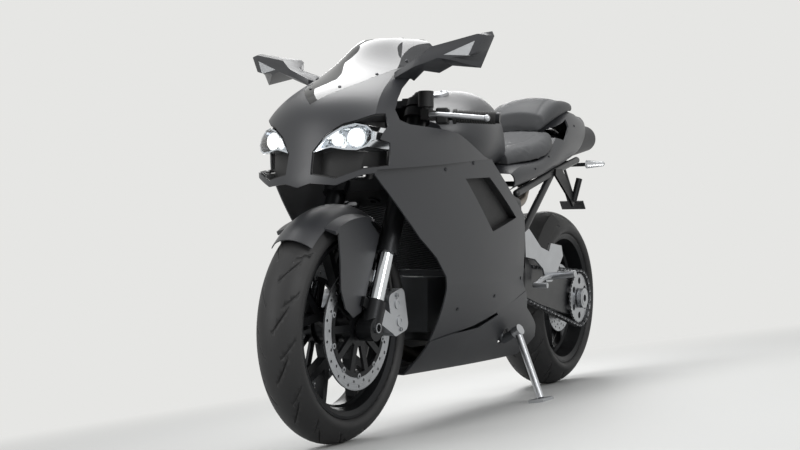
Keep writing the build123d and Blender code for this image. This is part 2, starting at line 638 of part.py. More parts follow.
# Tank, seats and tail: hull sections
# (x, floor_y, floor_z, waist_y, waist_z, shoulder_y, shoulder_z, crown_z)
TANK = [
    (322, 70, 800, 104, 828, 78, 858, 872),
    (230, 118, 764, 166, 820, 122, 900, 932),
    (100, 134, 756, 170, 826, 134, 926, 974),
    (-40, 98, 762, 128, 812, 108, 916, 972),
    (-118, 80, 772, 104, 806, 82, 850, 880),
]
TAIL = [
    (-60, 138, 676, 164, 706, 150, 730, 736),
    (-240, 150, 724, 176, 756, 160, 778, 786),
    (-410, 148, 764, 172, 806, 150, 850, 866),
    (-580, 136, 806, 154, 874, 126, 950, 982),
    (-740, 116, 850, 130, 912, 98, 984, 1006),
    (-900, 70, 912, 84, 950, 62, 990, 1000),
]
TAIL_INNER_DROP = 1.0
TAIL_WALL = 5.0
RIDER_SEAT = [
    (-118.3, 92, 738, 116, 772, 92, 806, 822),
    (-260, 128, 752, 164, 790, 126, 836, 848),
    (-360, 136, 790, 168, 828, 128, 866, 874),
    (-432, 118, 840, 142, 866, 106, 898, 906),
]
PASSENGER_SEAT = [
    (-446, 84, 890, 104, 918, 78, 950, 962),
    (-520, 100, 930, 126, 964, 94, 1000, 1016),
    (-640, 96, 972, 122, 994, 90, 1016, 1030),
    (-770, 60, 988, 84, 1004, 56, 1022, 1030),
]
WINDOW = [(-440, 872), (-470, 902), (-585, 950), (-572, 918), (-490, 864)]


def tail_and_seats():
    outer = hull(TAIL)
    cavity = []
    for x, floor_y, floor_z, waist_y, waist_z, shoulder_y, shoulder_z, crown_z in TAIL:
        cavity.append((x, floor_y - TAIL_WALL, floor_z - TAIL_INNER_DROP, waist_y - TAIL_WALL, waist_z,
                       shoulder_y - 0.8 * TAIL_WALL, shoulder_z - 0.8 * TAIL_WALL, crown_z - TAIL_WALL))
    first = cavity[0]
    cavity[0] = (first[0] + 4, *first[1:])
    last = cavity[-1]
    cavity[-1] = (last[0] + 5, *last[1:])
    inner = hull(cavity)
    tail = outer - inner - side_prism(WINDOW, 90, 260) - side_prism(WINDOW, -260, -90)
    for can in silencer_rooms():
        tail = tail - can
    seat_room = hull(TAIL, SEAT_GAP)
    rider = hull(RIDER_SEAT) - seat_room
    passenger = hull(PASSENGER_SEAT) - seat_room
    return tail, rider, passenger


SILENCER_Y = 60.0
SILENCER_FRONT = Vector(-560, SILENCER_Y, 838)
SILENCER_REAR = Vector(-950, SILENCER_Y, 912)
SILENCER_R = 48.0
CAN_WALL = 3.0
MOUTH_R = 24.0


def silencer_rooms():
    way = (SILENCER_REAR - SILENCER_FRONT).normalized()
    room = rod(SILENCER_FRONT - way * 20, SILENCER_REAR + way * 60, SILENCER_R + 3)
    return both(room)


def silencers():
    can = rod(SILENCER_FRONT, SILENCER_REAR, SILENCER_R)
    way = (SILENCER_REAR - SILENCER_FRONT).normalized()
    room = rod(SILENCER_FRONT + way * CAN_WALL, SILENCER_REAR - way * CAN_WALL, SILENCER_R - CAN_WALL)
    mouth = rod(SILENCER_REAR - way * 40, SILENCER_REAR + way * 5, MOUTH_R)
    return both(can - room - mouth)


def exhaust_pipes():
    right = pipe([(345, -40, 264.7), (345, -40, 215), (250, -40, 184), (-190, -50, 184), (-290, -70, 270),
                  (-330, -95, 640), (-440, -SILENCER_Y, 815.2), (-559.7, -SILENCER_Y, 837.9)], 21, 30)
    left = pipe([(-60.3, 50, 590), (-150, 50, 590), (-330, 66, 660), (-440, SILENCER_Y, 815.2),
                 (-559.7, SILENCER_Y, 837.9)], 21, 40)
    return [right, left]


# Engine: one plain mass in the shape of a vee twin, open only below the tank
CRANKCASE = [
    (255, 80, 230, 128, 330, 110, 430, 436),
    (100, 92, 216, 146, 330, 128, 450, 458),
    (-64, 92, 216, 146, 330, 128, 450, 458),
]


def engine():
    case = hull(CRANKCASE)
    gearbox = block(-150, -60, -100, 100, 262, 500)
    front_cylinder = block(240, 386, -92, 92, 265, 418)
    rear_cylinder = block(-60, 108, -92, 92, 440, 690)
    stand_lug = rod(STAND_PIVOT - STAND_AXIS * (KNUCKLE_HALF + SEAT_GAP), LUG_ELBOW, BRACKET_R)
    stand_lug = stand_lug + Pos(LUG_ELBOW) * Sphere(BRACKET_R) + rod(LUG_ELBOW, LUG_ROOT, BRACKET_R)
    centre = FRONT_SPROCKET
    shaft = rod((centre.X, 99, centre.Z), (centre.X, CHAIN_Y + 6, centre.Z), 14)
    sprocket = rod((centre.X, CHAIN_Y - 4, centre.Z), (centre.X, CHAIN_Y + 4, centre.Z), FRONT_SPROCKET_R + 2 - SEAT_GAP)
    return case + gearbox + front_cylinder + rear_cylinder + stand_lug + shaft + sprocket


FRAME_R = 17.0
# frame tubes on the left: (from, to)
FRAME_TUBES = [
    ((450, 24, 800), (290, 150, 706)),
    ((290, 150, 706), (-90, 152, 640)),
    ((486, 24, 716), (250, 150, 570)),
    ((250, 150, 570), (-120, 148, 490)),
    ((290, 150, 706), (250, 150, 570)),
    ((250, 150, 570), (100, 151, 672)),
    ((100, 151, 672), (40, 149, 525)),
    ((40, 149, 525), (-90, 152, 640)),
    ((-90, 152, 640), (-120, 148, 490)),
]
SUBFRAME_TUBES = [
    ((-98.5, 152, 669.8), (-410, 146, 751.5)),
    ((-410, 146, 751.5), (-700, 124, 812)),
    ((-140.3, 150, 540), (-410, 146, 751.5)),
]
SUBFRAME_R = 12.0
HEAD_JOIN_X = 310.0
PIVOT_PLATE_IN = 137.0
PIVOT_PLATE = [(-112, 505), (-176, 472), (-176, 372), (-226, 372), (-232, 430), (-150, 524)]


def frame_left(tubes, radius):
    parts = []
    for start, end in tubes:
        parts.append(rod(start, end, radius))
        parts.append(Pos(*start) * Sphere(radius))
        parts.append(Pos(*end) * Sphere(radius))
    return joined(parts)


def trellis_frame():
    left = frame_left(FRAME_TUBES, FRAME_R)
    head = in_fork(rod((-FORK_OFFSET, 0, HEAD_LOW), (-FORK_OFFSET, 0, HEAD_HIGH), HEAD_R))
    bore = in_fork(rod((-FORK_OFFSET, 0, HEAD_LOW - 5), (-FORK_OFFSET, 0, HEAD_HIGH + 5), HEAD_BORE))
    cross = rod((-90, -152, 640), (-90, 152, 640), 14)
    left = left + side_prism(PIVOT_PLATE, PIVOT_PLATE_IN, PIVOT_PLATE_IN + 10)
    # engine lugs, a tank post and a radiator stay
    left = left + rod((-130, 100 + SEAT_GAP, 487), (-130, 141, 487), 9)
    left = left + rod((40, 92 + SEAT_GAP, 525), (40, 145, 525), 10)
    left = left + rod((100, 146, 676), (100, 128, 753.5), 9)
    left = left + rod((262, 152, 601.3), (383.9, 156, 561.6), 8)
    dash_stay = rod((488, 0, 738), (530, 0, 758.7), 9) + Pos(530, 0, 758.7) * Sphere(9)
    dash_stay = dash_stay + rod((530, 0, 758.7), (603.35, 0, 885.7), 9)
    whole = left + mirror(left, about=Plane.XZ) + head + cross + dash_stay - bore
    half_gap = SEAT_GAP / 2
    whole = whole - block(HEAD_JOIN_X - half_gap, HEAD_JOIN_X + half_gap, -300, 300, 300, 1000)
    return whole - block(-400, HEAD_JOIN_X, -half_gap, half_gap, 300, 1000)


def rear_subframe():
    left = frame_left(SUBFRAME_TUBES, SUBFRAME_R)
    cross = rod((-250, -148, 708), (-250, 148, 708), 9) + rod((-700, -124, 804), (-700, 124, 804), 8)
    return left + mirror(left, about=Plane.XZ) + cross


RADIATOR_TILT = 18.0


def radiator():
    core = Rot(0, RADIATOR_TILT, 0) * Box(34, 330, 190)
    tanks = [Rot(0, RADIATOR_TILT, 0) * (Pos(0, side * 158, 0) * Box(42, 22, 200)) for side in SIDES]
    return Pos(398, 0, 536) * (core + tanks[0] + tanks[1])


def dash():
    body = Rot(0, 30, 0) * Box(36, 140, 74)
    return Pos(622, 0, 918) * fillet(body.edges().filter_by(Axis.Y), 8)


# Mirrors: wedge pods drawn in front view, with a glass behind and a lamp lens in the front face
POD = [(118, 916), (190, 950), (252, 977), (334, 965), (372, 1044), (366, 1057), (222, 1028), (196, 1004), (118, 966)]
POD_PLAN = [(556, 100), (648, 100), (642, 190), (580, 378), (548, 378), (548, 214), (600, 196)]
POD_BACK = 548.0
POD_DEPTH = 100.0
POD_TAPER = 9.0
GLASS = [(240, 984), (328, 975), (360, 1040), (354, 1047), (244, 1023)]
GLASS_THICK = 3.0
POD_LENS = [(262, 995), (338, 1028), (322, 991)]
LENS_THICK = 3.0


def pod_left():
    face = Plane.YZ * Polygon(*anticlockwise(POD))
    pod = Pos(POD_BACK, 0, 0) * extrude(face, amount=POD_DEPTH, taper=POD_TAPER)
    return pod & top_prism(POD_PLAN, 880, 1090)


def mirrors_left():
    pod = pod_left()
    lens = (pod - Pos(-LENS_THICK, 0, 0) * pod) & front_prism(POD_LENS, POD_BACK, 700)
    seat = (pod - Pos(-LENS_THICK - SEAT_GAP, 0, 0) * pod) & front_cut(POD_LENS, SEAT_GAP, POD_BACK, 700)
    pod = pod - cowl_body(-SEAT_GAP) - seat - front_prism(GLASS, POD_BACK - 10, POD_BACK + GLASS_THICK + SEAT_GAP)
    return pod, lens


def mirror_glass_left():
    return front_cut(GLASS, -SEAT_GAP, POD_BACK, POD_BACK + GLASS_THICK)


# Rear suspension, single-sided on the left
ARM_IN = 97.0
ARM_OUT = 114.0
ARM_SIDE = [(-158, 432), (-158, 372), (-300, 322), (-470, 292), (-640, 262), (-715, 255), (-715, 375), (-640, 384),
            (-470, 430), (-300, 462), (-210, 458)]


def swingarm():
    pivot = Pos(PIVOT) * (Rot(90, 0, 0) * Cylinder(32, 2 * ARM_OUT))
    pin_half = PIVOT_PLATE_IN - SEAT_GAP
    pivot = pivot + Pos(PIVOT) * (Rot(90, 0, 0) * Cylinder(24, 2 * pin_half))
    beam = side_prism(ARM_SIDE, ARM_IN, ARM_OUT)
    bridge = block(-326, -190, -50, ARM_IN + 1, 372, 440)
    hub = Pos(REAR_AXLE + Vector(0, 88, 0)) * ring(HUB_RING_R, REAR_SHAFT_R, 2 * (ARM_OUT - 88))
    whole = pivot + beam + bridge + hub
    return whole - Pos(REAR_AXLE) * (Rot(90, 0, 0) * Cylinder(REAR_SHAFT_R + SEAT_GAP, 400))


SHOCK_Y = -12.0


def rear_shock():
    top = (-110.2, SHOCK_Y, 653.8)
    low = (-242, SHOCK_Y, 446.9)
    spring = rod((-142, SHOCK_Y, 604), (-222, SHOCK_Y, 478), 32)
    return spring + rod(top, low, 9) + rod((-110.2, SHOCK_Y - 20, 653.8), (-110.2, SHOCK_Y + 20, 653.8), 10)


def chain():
    high = REAR_SPROCKET_R + 2
    low = FRONT_SPROCKET_R + 2
    outer_high = high + 12
    outer_low = low + 12
    rear = (REAR_AXLE.X, REAR_AXLE.Z)
    front = (FRONT_SPROCKET.X, FRONT_SPROCKET.Z)
    outer = chain_loop(rear, outer_high, front, outer_low)
    inner = chain_loop(rear, high, front, low)
    band = extrude(Plane.XZ * outer, amount=6.5, both=True) - extrude(Plane.XZ * inner, amount=20, both=True)
    return Pos(0, CHAIN_Y, 0) * band


def chain_loop(rear, rear_r, front, front_r):
    span = math.hypot(front[0] - rear[0], front[1] - rear[1])
    tilt = math.atan2(front[1] - rear[1], front[0] - rear[0])
    spread = math.acos((rear_r - front_r) / span)
    ends = []
    for turn in (tilt + spread, tilt - spread):
        for centre, radius in ((rear, rear_r), (front, front_r)):
            ends.append((centre[0] + radius * math.cos(turn), centre[1] + radius * math.sin(turn)))
    rear_back = (rear[0] - rear_r * math.cos(tilt), rear[1] - rear_r * math.sin(tilt))
    front_nose = (front[0] + front_r * math.cos(tilt), front[1] + front_r * math.sin(tilt))
    edges = [Line(ends[0], ends[1]), ThreePointArc(ends[1], front_nose, ends[3])]
    edges += [Line(ends[3], ends[2]), ThreePointArc(ends[2], rear_back, ends[0])]
    return Face(Wire(edges))


def sprocket_cover():
    outline = [(-170, 372), (-170, 430), (-146, 462), (-72, 462), (-70, 338), (-140, 338)]
    plate = side_prism(outline, CHAIN_Y + 12, CHAIN_Y + 22)
    for z in (350, 452):
        plate = plate + rod((-80, 100 + SEAT_GAP, z), (-80, CHAIN_Y + 13, z), 7)
    return plate


def rear_hugger():
    outer = REAR_RADIUS + 16
    inner = outer - 3
    strip = Plane.YZ * Polygon((-92, inner - 34), (-70, inner - 6), (0, inner), (70, inner - 6), (92, inner - 34),
                               (96.7, inner - 34), (73, inner - 3), (0, outer), (-73, inner - 3), (-96.7, inner - 34))
    return Pos(REAR_AXLE) * revolve(Rot(0, 22, 0) * strip, axis=Axis.Y, revolution_arc=52)


REAR_CALIPER_R = 118.0
REAR_CALIPER_TURN = 63.4


def rear_caliper():
    body = fillet(Box(80, 56, 60).edges().filter_by(Axis.Y), 12) - Pos(0, 0, -25) * Box(90, 16, 70)
    turn = math.radians(REAR_CALIPER_TURN)
    centre = REAR_AXLE + Vector(REAR_CALIPER_R * math.sin(turn), REAR_ROTOR_Y, REAR_CALIPER_R * math.cos(turn))
    boss = rod((centre.X, REAR_ROTOR_Y + 20, centre.Z), (centre.X, ARM_IN - SEAT_GAP, centre.Z), 16)
    return Pos(centre) * Rot(0, REAR_CALIPER_TURN, 0) * body + boss


# Rider's and passenger's footrests
HANGER = [(-118, 548), (-150, 560), (-250, 500), (-318, 486), (-336, 513), (-430, 505), (-444, 470), (-392, 420),
          (-345, 386), (-296, 386), (-268, 430), (-200, 462), (-124, 470)]
HANGER_IN = 165.3
HANGER_OUT = 172.0
PEG = Vector(-312, 0, 404)


def footrest_left():
    plate = side_prism(HANGER, HANGER_IN, HANGER_OUT)
    peg = rod((PEG.X, HANGER_OUT - 1, PEG.Z), (PEG.X + 6, 268, PEG.Z + 10), 12)
    return plate + peg


def foot_lever_left():
    arm = pipe([(PEG.X + 13.6, 184, PEG.Z), (-270, 184, PEG.Z), (-230, 184, 398), (-166, 188, 380)], 7, 30)
    toe = rod((-166, 180, 380), (-166, 228, 380), 9)
    return arm + toe


def passenger_rest_left():
    arm = side_prism([(-394, 742), (-398, 762), (-452, 766), (-584, 672), (-560, 640), (-530, 664)], 158.3, 166)
    peg = rod((-564, 165, 660), (-580, 180, 738), 11)
    return arm + peg


STALK_Y = 108.0
INDICATOR_LONG = 62.0


def plate_bracket():
    spines = [pipe([(-708.4, side * 12, 804), (-862, side * 12, 806), (-985, side * 12, 668)], 5, 30) for side in SIDES]
    panel = Pos(-990, 0, 660) * Rot(0, 42, 0) * Box(4, 96, 40)
    stalks = rod((-850, -STALK_Y, 806), (-850, STALK_Y, 806), 7)
    return spines[0] + spines[1] + panel + stalks


def rear_indicator_left():
    start = STALK_Y + SEAT_GAP
    pod = rod((-850, start, 806), (-850, start + INDICATOR_LONG, 806), 16, 9)
    return pod + Pos(-850, start + INDICATOR_LONG, 806) * Sphere(9)


def tail_lamp():
    return block(-914, -900.3, -44, 44, 956, 986)


def chassis():
    cowl, screen, lenses, trays, liners = nose()
    flank_l, flank_r, belly, vent_liners = panels()
    tail, rider, passenger = tail_and_seats()
    pod, pod_lens = mirrors_left()
    return {
        "trellis_frame": [trellis_frame()],
        "rear_subframe": [rear_subframe()],
        "engine": [engine()],
        "radiator": [radiator()],
        "nose_cowl": [cowl],
        "windscreen": [screen],
        "headlamp_lenses": lenses,
        "headlamp_trays": trays,
        "nose_liners": liners,
        "dash": [dash()],
        "mirrors": both(pod),
        "mirror_lenses": both(pod_lens),
        "mirror_glasses": both(mirror_glass_left()),
        "side_fairing_left": [flank_l],
        "side_fairing_right": [flank_r],
        "vent_liners": vent_liners,
        "belly_pan": [belly],
        "fuel_tank": [hull(TANK)],
        "rider_seat": [rider],
        "passenger_seat": [passenger],
        "tail_cowl": [tail],
        "tail_lamp": [tail_lamp()],
        "silencers": silencers(),
        "exhaust_pipes": exhaust_pipes(),
        "plate_bracket": [plate_bracket()],
        "rear_indicators": both(rear_indicator_left()),
        "footrests": both(footrest_left()),
        "foot_levers": both(foot_lever_left()),
        "passenger_rests": both(passenger_rest_left()),
        "swingarm": [swingarm()],
        "rear_shock": [rear_shock()],
        "rear_caliper": [rear_caliper()],
        "chain": [chain()],
        "sprocket_cover": [sprocket_cover()],
        "rear_hugger": [rear_hugger()],
    }


def side_stand():
    leg = rod(STAND_PIVOT, STAND_FOOT, STAND_LEG_R)
    sole = FROM_LEAN * Pos(SOLE.X, SOLE.Y, SOLE.Z + SOLE_SIZE[2] / 2) * Box(*SOLE_SIZE)
    knuckle = rod(STAND_PIVOT - STAND_AXIS * KNUCKLE_HALF, STAND_PIVOT + STAND_AXIS * KNUCKLE_HALF, KNUCKLE_R)
    return leg + sole + knuckle


BODIES = {
    "chassis": chassis,
    "steering": steering,
    "front_wheel": front_wheel,
    "rear_wheel": rear_wheel,
    "side_stand": lambda: {"side_stand": [side_stand()]},
}


def build():
    nodes = {}
    for body, make in BODIES.items():
        for name, solids in make().items():
            leaned = []
            for shape in solids:
                for solid in shape.solids():
                    leaned.append(TO_LEAN * solid)
            nodes[name] = leaned
    low = [math.inf] * 3
    high = [-math.inf] * 3
    for solids in nodes.values():
        for solid in solids:
            box = solid.bounding_box()
            for axis, (least, most) in enumerate(zip(tuple(box.min), tuple(box.max))):
                low[axis] = min(low[axis], least)
                high[axis] = max(high[axis], most)
    shift = Pos(-(low[0] + high[0]) / 2, -(low[1] + high[1]) / 2, -low[2])
    return nodes, shift, low, high


def export():
    os.makedirs("parts", exist_ok=True)
    nodes, shift, low, high = build()
    for name, solids in nodes.items():
        placed = [shift * solid for solid in solids]
        shape = placed[0] if len(placed) == 1 else Compound(children=placed)
        shape.label = name
        export_step(shape, os.path.join("parts", name + ".step"))
    print("size", [round(b - a, 1) for a, b in zip(low, high)])
    print("shift", [round(value, 3) for value in tuple(shift.position)])
    return nodes


if __name__ == "__main__":
    export()
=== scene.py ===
import bpy
import json
import math
from mathutils import Matrix, Vector


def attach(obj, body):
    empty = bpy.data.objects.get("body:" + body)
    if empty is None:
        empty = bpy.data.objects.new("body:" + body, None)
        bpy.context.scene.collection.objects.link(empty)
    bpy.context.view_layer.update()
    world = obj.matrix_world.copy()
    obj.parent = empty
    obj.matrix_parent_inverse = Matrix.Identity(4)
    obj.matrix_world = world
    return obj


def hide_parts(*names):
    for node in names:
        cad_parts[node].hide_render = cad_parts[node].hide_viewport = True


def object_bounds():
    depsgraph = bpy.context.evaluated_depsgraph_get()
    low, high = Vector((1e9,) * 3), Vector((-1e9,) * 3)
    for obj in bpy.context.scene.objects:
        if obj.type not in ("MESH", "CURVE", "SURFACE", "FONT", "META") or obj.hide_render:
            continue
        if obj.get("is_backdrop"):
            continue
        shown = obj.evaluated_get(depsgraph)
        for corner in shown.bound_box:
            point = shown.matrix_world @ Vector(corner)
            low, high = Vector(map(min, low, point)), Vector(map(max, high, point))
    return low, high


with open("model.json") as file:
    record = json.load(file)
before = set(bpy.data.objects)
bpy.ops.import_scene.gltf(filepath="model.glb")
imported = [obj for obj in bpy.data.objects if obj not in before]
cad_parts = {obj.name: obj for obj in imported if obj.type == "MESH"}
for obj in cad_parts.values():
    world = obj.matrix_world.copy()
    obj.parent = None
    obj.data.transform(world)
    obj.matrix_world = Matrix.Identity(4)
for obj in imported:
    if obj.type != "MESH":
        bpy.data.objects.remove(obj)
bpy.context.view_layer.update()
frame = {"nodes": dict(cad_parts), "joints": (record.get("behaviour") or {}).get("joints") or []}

# Studio: a plain pale floor that fades into a pale surround, two soft panels overhead and one each at the
# left, the front and the tail. The camera stands at the machine's front left and leans with it, so that it
# looks at an upright machine.
MM = 0.001
REAR_AXLE = Vector((-715, 0, 315))
FRONT_AXLE = Vector((715, 0, 300))
joints = {joint["name"]: joint for joint in frame["joints"]}
spin_axis = Vector(joints["rear_spin"]["axis"])
LEAN = Matrix.Rotation(math.atan2(spin_axis.z, spin_axis.y), 4, "X")
rear_hub = Vector(joints["rear_spin"]["pos_m"])
PLACE = Matrix.Translation(rear_hub - LEAN @ (REAR_AXLE * MM)) @ LEAN @ Matrix.Scale(MM, 4)

CAMERA_AT = Vector((3213.8, 1591.1, 519.0))
CAMERA_YAW = math.radians(-150.7)
CAMERA_PITCH = math.radians(0.82)
FOCAL_PIXELS = 1145.6
PICTURE_WIDTH = 800
PALE = "#e6e6e4"
SURROUND_STRENGTH = 1.0
SKY = "#dfe3e8"
SKY_STRENGTH = 0.42
FLOOR_R = 40
FLOOR_CLEAR_FROM = 1.3
FLOOR_CLEAR_TO = 3.6


def linear(hex_colour):
    channels = [int(hex_colour[i:i + 2], 16) / 255 for i in (1, 3, 5)]
    curve = [c / 12.92 if c <= 0.04045 else ((c + 0.055) / 1.055) ** 2.4 for c in channels]
    return (*curve, 1.0)


def add(tree, kind, settings=None, links=None):
    node = tree.nodes.new(kind)
    for key, value in (settings or {}).items():
        if hasattr(node, key):
            setattr(node, key, value)
        else:
            node.inputs[key].default_value = value
    for key, source in (links or {}).items():
        tree.links.new(source, node.inputs[key])
    return node


def new_material(name):
    material = bpy.data.materials.new(name)
    material.use_nodes = True
    tree = material.node_tree
    shader = tree.nodes["Principled BSDF"]
    return material, tree, shader


scene = bpy.context.scene
scene.view_settings.view_transform = "Standard"
forward = Vector((math.cos(CAMERA_PITCH) * math.cos(CAMERA_YAW),
                  math.cos(CAMERA_PITCH) * math.sin(CAMERA_YAW), math.sin(CAMERA_PITCH)))
camera = bpy.data.objects.new("camera", bpy.data.cameras.new("camera"))
scene.collection.objects.link(camera)
camera.data.sensor_width = 36
camera.data.lens = camera.data.sensor_width * FOCAL_PIXELS / PICTURE_WIDTH
camera.rotation_mode = "QUATERNION"
camera.rotation_quaternion = LEAN.to_quaternion() @ forward.to_track_quat("-Z", "Y")
camera.location = PLACE @ CAMERA_AT
scene.camera = camera

world = bpy.data.worlds.new("surround")
scene.world = world
world.use_nodes = True
tree = world.node_tree
path = add(tree, "ShaderNodeLightPath")
seen = add(tree, "ShaderNodeMath", {"operation": "MAXIMUM"})
tree.links.new(path.outputs["Is Camera Ray"], seen.inputs[0])
tree.links.new(path.outputs["Is Transmission Ray"], seen.inputs[1])
shown = add(tree, "ShaderNodeMath", {"operation": "MAXIMUM"})
tree.links.new(seen.outputs[0], shown.inputs[0])
tree.links.new(path.outputs["Is Glossy Ray"], shown.inputs[1])
soft = add(tree, "ShaderNodeBackground", {"Color": linear(SKY), "Strength": SKY_STRENGTH})
pale = add(tree, "ShaderNodeBackground", {"Color": linear(PALE), "Strength": SURROUND_STRENGTH})
pick = add(tree, "ShaderNodeMixShader", {}, {0: shown.outputs[0], 1: soft.outputs[0], 2: pale.outputs[0]})
tree.links.new(pick.outputs[0], tree.nodes["World Output"].inputs["Surface"])

bpy.ops.object.select_all(action="DESELECT")
bpy.ops.mesh.primitive_circle_add(vertices=96, radius=FLOOR_R, fill_type="NGON", location=(0, 0, 0))
floor = bpy.context.object
floor.name = "floor"
material, tree, shader = new_material("pale studio floor")
shader.inputs["Base Color"].default_value = linear("#c6c6c4")
shader.inputs["Roughness"].default_value = 0.6
place_node = add(tree, "ShaderNodeTexCoord")
reach = add(tree, "ShaderNodeVectorMath", {"operation": "LENGTH"}, {0: place_node.outputs["Object"]})
fade = add(tree, "ShaderNodeMapRange", {"interpolation_type": "SMOOTHSTEP", "From Min": FLOOR_CLEAR_FROM,
                                        "From Max": FLOOR_CLEAR_TO}, {"Value": reach.outputs["Value"]})
glow = add(tree, "ShaderNodeEmission", {"Color": linear(PALE), "Strength": SURROUND_STRENGTH})
mixed = add(tree, "ShaderNodeMixShader", {},
            {0: fade.outputs[0], 1: shader.outputs[0], 2: glow.outputs[0]})
tree.links.new(mixed.outputs[0], tree.nodes["Material Output"].inputs["Surface"])
floor.data.materials.append(material)
floor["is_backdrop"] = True

# name, place, aim, width, height, watts
LAMPS = [
    ("overhead_panel", (0.6, 0.2, 3.4), (0, 0, 0.6), 3.6, 2.8, 10),
    ("screen_panel", (-0.35, -0.25, 3.2), (0.3, 0, 0.9), 2.0, 2.0, 72),
    ("left_panel", (1.4, 3.0, 1.9), (0.1, 0, 0.6), 1.2, 2.0, 50),
    ("front_panel", (3.6, -0.9, 1.8), (0.6, 0, 0.7), 1.0, 1.8, 36),
    ("tail_panel", (-3.2, -1.6, 2.2), (-0.5, 0, 0.6), 1.6, 1.6, 50),
]
for name, spot, aim, width, height, watts in LAMPS:
    lamp = bpy.data.objects.new(name, bpy.data.lights.new(name, "AREA"))
    lamp.data.shape = "RECTANGLE"
    lamp.data.size = width
    lamp.data.size_y = height
    lamp.data.energy = watts
    lamp.location = spot
    lamp.rotation_mode = "QUATERNION"
    lamp.rotation_quaternion = (Vector(aim) - Vector(spot)).to_track_quat("-Z", "Y")
    scene.collection.objects.link(lamp)

# Frame: welded steel tube trellis with its rear subframe and swingarm, brushed clean and coated in black
# baked powder. The powder leaves a fine orange peel and a soft sheen.


def grained(name, colour, metallic, roughness, spread, grain_mm, depth, patch_mm=45.0, tone=0.12):
    material, tree, shader = new_material(name)
    shader.inputs["Metallic"].default_value = metallic
    spot = add(tree, "ShaderNodeTexCoord").outputs["Object"]
    grain = add(tree, "ShaderNodeTexNoise", {"Scale": 1 / (grain_mm * MM), "Detail": 2.0}, {"Vector": spot})
    patch = add(tree, "ShaderNodeTexNoise", {"Scale": 1 / (patch_mm * MM), "Detail": 3.0}, {"Vector": spot})
    rough = add(tree, "ShaderNodeMapRange", {"To Min": roughness - spread, "To Max": roughness + spread},
                {"Value": patch.outputs["Fac"]})
    base = linear(colour)
    light = tuple(min(1.0, c * (1 + tone)) for c in base[:3])
    dark = tuple(c * (1 - tone) for c in base[:3])
    mix = add(tree, "ShaderNodeMix", {"data_type": "RGBA"}, {0: patch.outputs["Fac"]})
    mix.inputs[6].default_value = (*dark, 1)
    mix.inputs[7].default_value = (*light, 1)
    bump = add(tree, "ShaderNodeBump", {"Strength": 1.0, "Distance": depth * MM},
               {"Height": grain.outputs["Fac"]})
    tree.links.new(mix.outputs[2], shader.inputs["Base Color"])
    tree.links.new(rough.outputs[0], shader.inputs["Roughness"])
    tree.links.new(bump.outputs[0], shader.inputs["Normal"])
    return material


def coat(material, *nodes):
    for node in nodes:
        slots = frame["nodes"][node].data.materials
        slots.clear()
        slots.append(material)


powder_coat = grained("black powder coat", "#1b1c1e", 0.0, 0.38, 0.06, 1.4, 0.05)
coat(powder_coat, "trellis_frame", "rear_subframe", "swingarm", "plate_bracket")

# Engine and radiator: a cast alloy block with a dark finish, and a finned core between pressed side tanks.
# The fins are drawn 6 mm apart as bands of painted shade and a bump, coarser than real ones, so that they
# show.
FIN_MM = 6.0
FIN_DEEP = 1.5
# the wave texture draws one band per 0.314 of its scale
WAVE_TURN = 0.314
# sand cast and dark coated: a coarse grain with dull, uneven highlights
cast_alloy = grained("cast alloy, dark finish", "#55575a", 0.75, 0.5, 0.08, 1.1, 0.12)
coat(cast_alloy, "engine")
# rows of thin painted fins: dark gaps of painted shade between dull grey edges
fins, tree, shader = new_material("radiator fin rows with painted gap shade")
shader.inputs["Metallic"].default_value = 0.5
shader.inputs["Roughness"].default_value = 0.5
spot = add(tree, "ShaderNodeTexCoord").outputs["Object"]
rows = add(tree, "ShaderNodeTexWave", {"bands_direction": "Z", "Scale": WAVE_TURN / (FIN_MM * MM)},
           {"Vector": spot})
# painted shade: the wave darkens the gaps between the fins to near black and leaves their edges grey
tone = add(tree, "ShaderNodeMix", {"data_type": "RGBA"}, {0: rows.outputs["Fac"]})
tone.inputs[6].default_value = linear("#0e0f10")
tone.inputs[7].default_value = linear("#3b3d40")
ridge = add(tree, "ShaderNodeBump", {"Strength": 1.0, "Distance": FIN_DEEP * MM},
            {"Height": rows.outputs["Fac"]})
tree.links.new(tone.outputs[2], shader.inputs["Base Color"])
tree.links.new(ridge.outputs[0], shader.inputs["Normal"])
coat(fins, "radiator")

# Exhaust: bent steel pipes, tinted by heat, to two cans under the seat with a black ceramic coat. Each
# can ends in a rolled outlet lip.
SILENCER_END = (-950, 60, 912)
SILENCER_WAY = Vector((-390, 0, 74)).normalized()
LIP_R = 25.5
LIP_ROLL = 3.2
LIP_STRETCH = 1.6
SIDES = (1, -1)
# straw and grey tints in broad patches over a drawn surface
pipe_steel = grained("heat tinted steel", "#8b847c", 1.0, 0.35, 0.1, 1.0, 0.02, 60.0, 0.3)
coat(pipe_steel, "exhaust_pipes")
# a baked coat, flat and even, with hardly any shine
can_coat = grained("black ceramic coat", "#2a2a2c", 0.2, 0.5, 0.06, 1.0, 0.04)
coat(can_coat, "silencers")


def only(piece):
    bpy.ops.object.select_all(action="DESELECT")
    piece.select_set(True)
    bpy.context.view_layer.objects.active = piece


def settle(piece, name, body, material, angle=35):
    piece.name = name
    only(piece)
    bpy.ops.object.transform_apply(location=True, rotation=True, scale=True)
    bpy.ops.object.shade_smooth_by_angle(angle=math.radians(angle))
    piece.data.materials.clear()
    piece.data.materials.append(material)
    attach(piece, body)
    return piece


def gathered(master, places):
    twins = []
    for place in places:
        twin = master.copy()
        twin.data = master.data.copy()
        scene.collection.objects.link(twin)
        twin.matrix_world = PLACE @ place
        twins.append(twin)
    bpy.data.objects.remove(master)
    bpy.context.view_layer.update()
    only(twins[0])
    for twin in twins:
        twin.select_set(True)
    if len(twins) > 1:
        bpy.ops.object.join()
    return twins[0]


def stood(at, up, turn=0.0):
    facing = Vector(up).to_track_quat("Z", "Y").to_matrix().to_4x4()
    return Matrix.Translation(at) @ facing @ Matrix.Rotation(turn, 4, "Z")


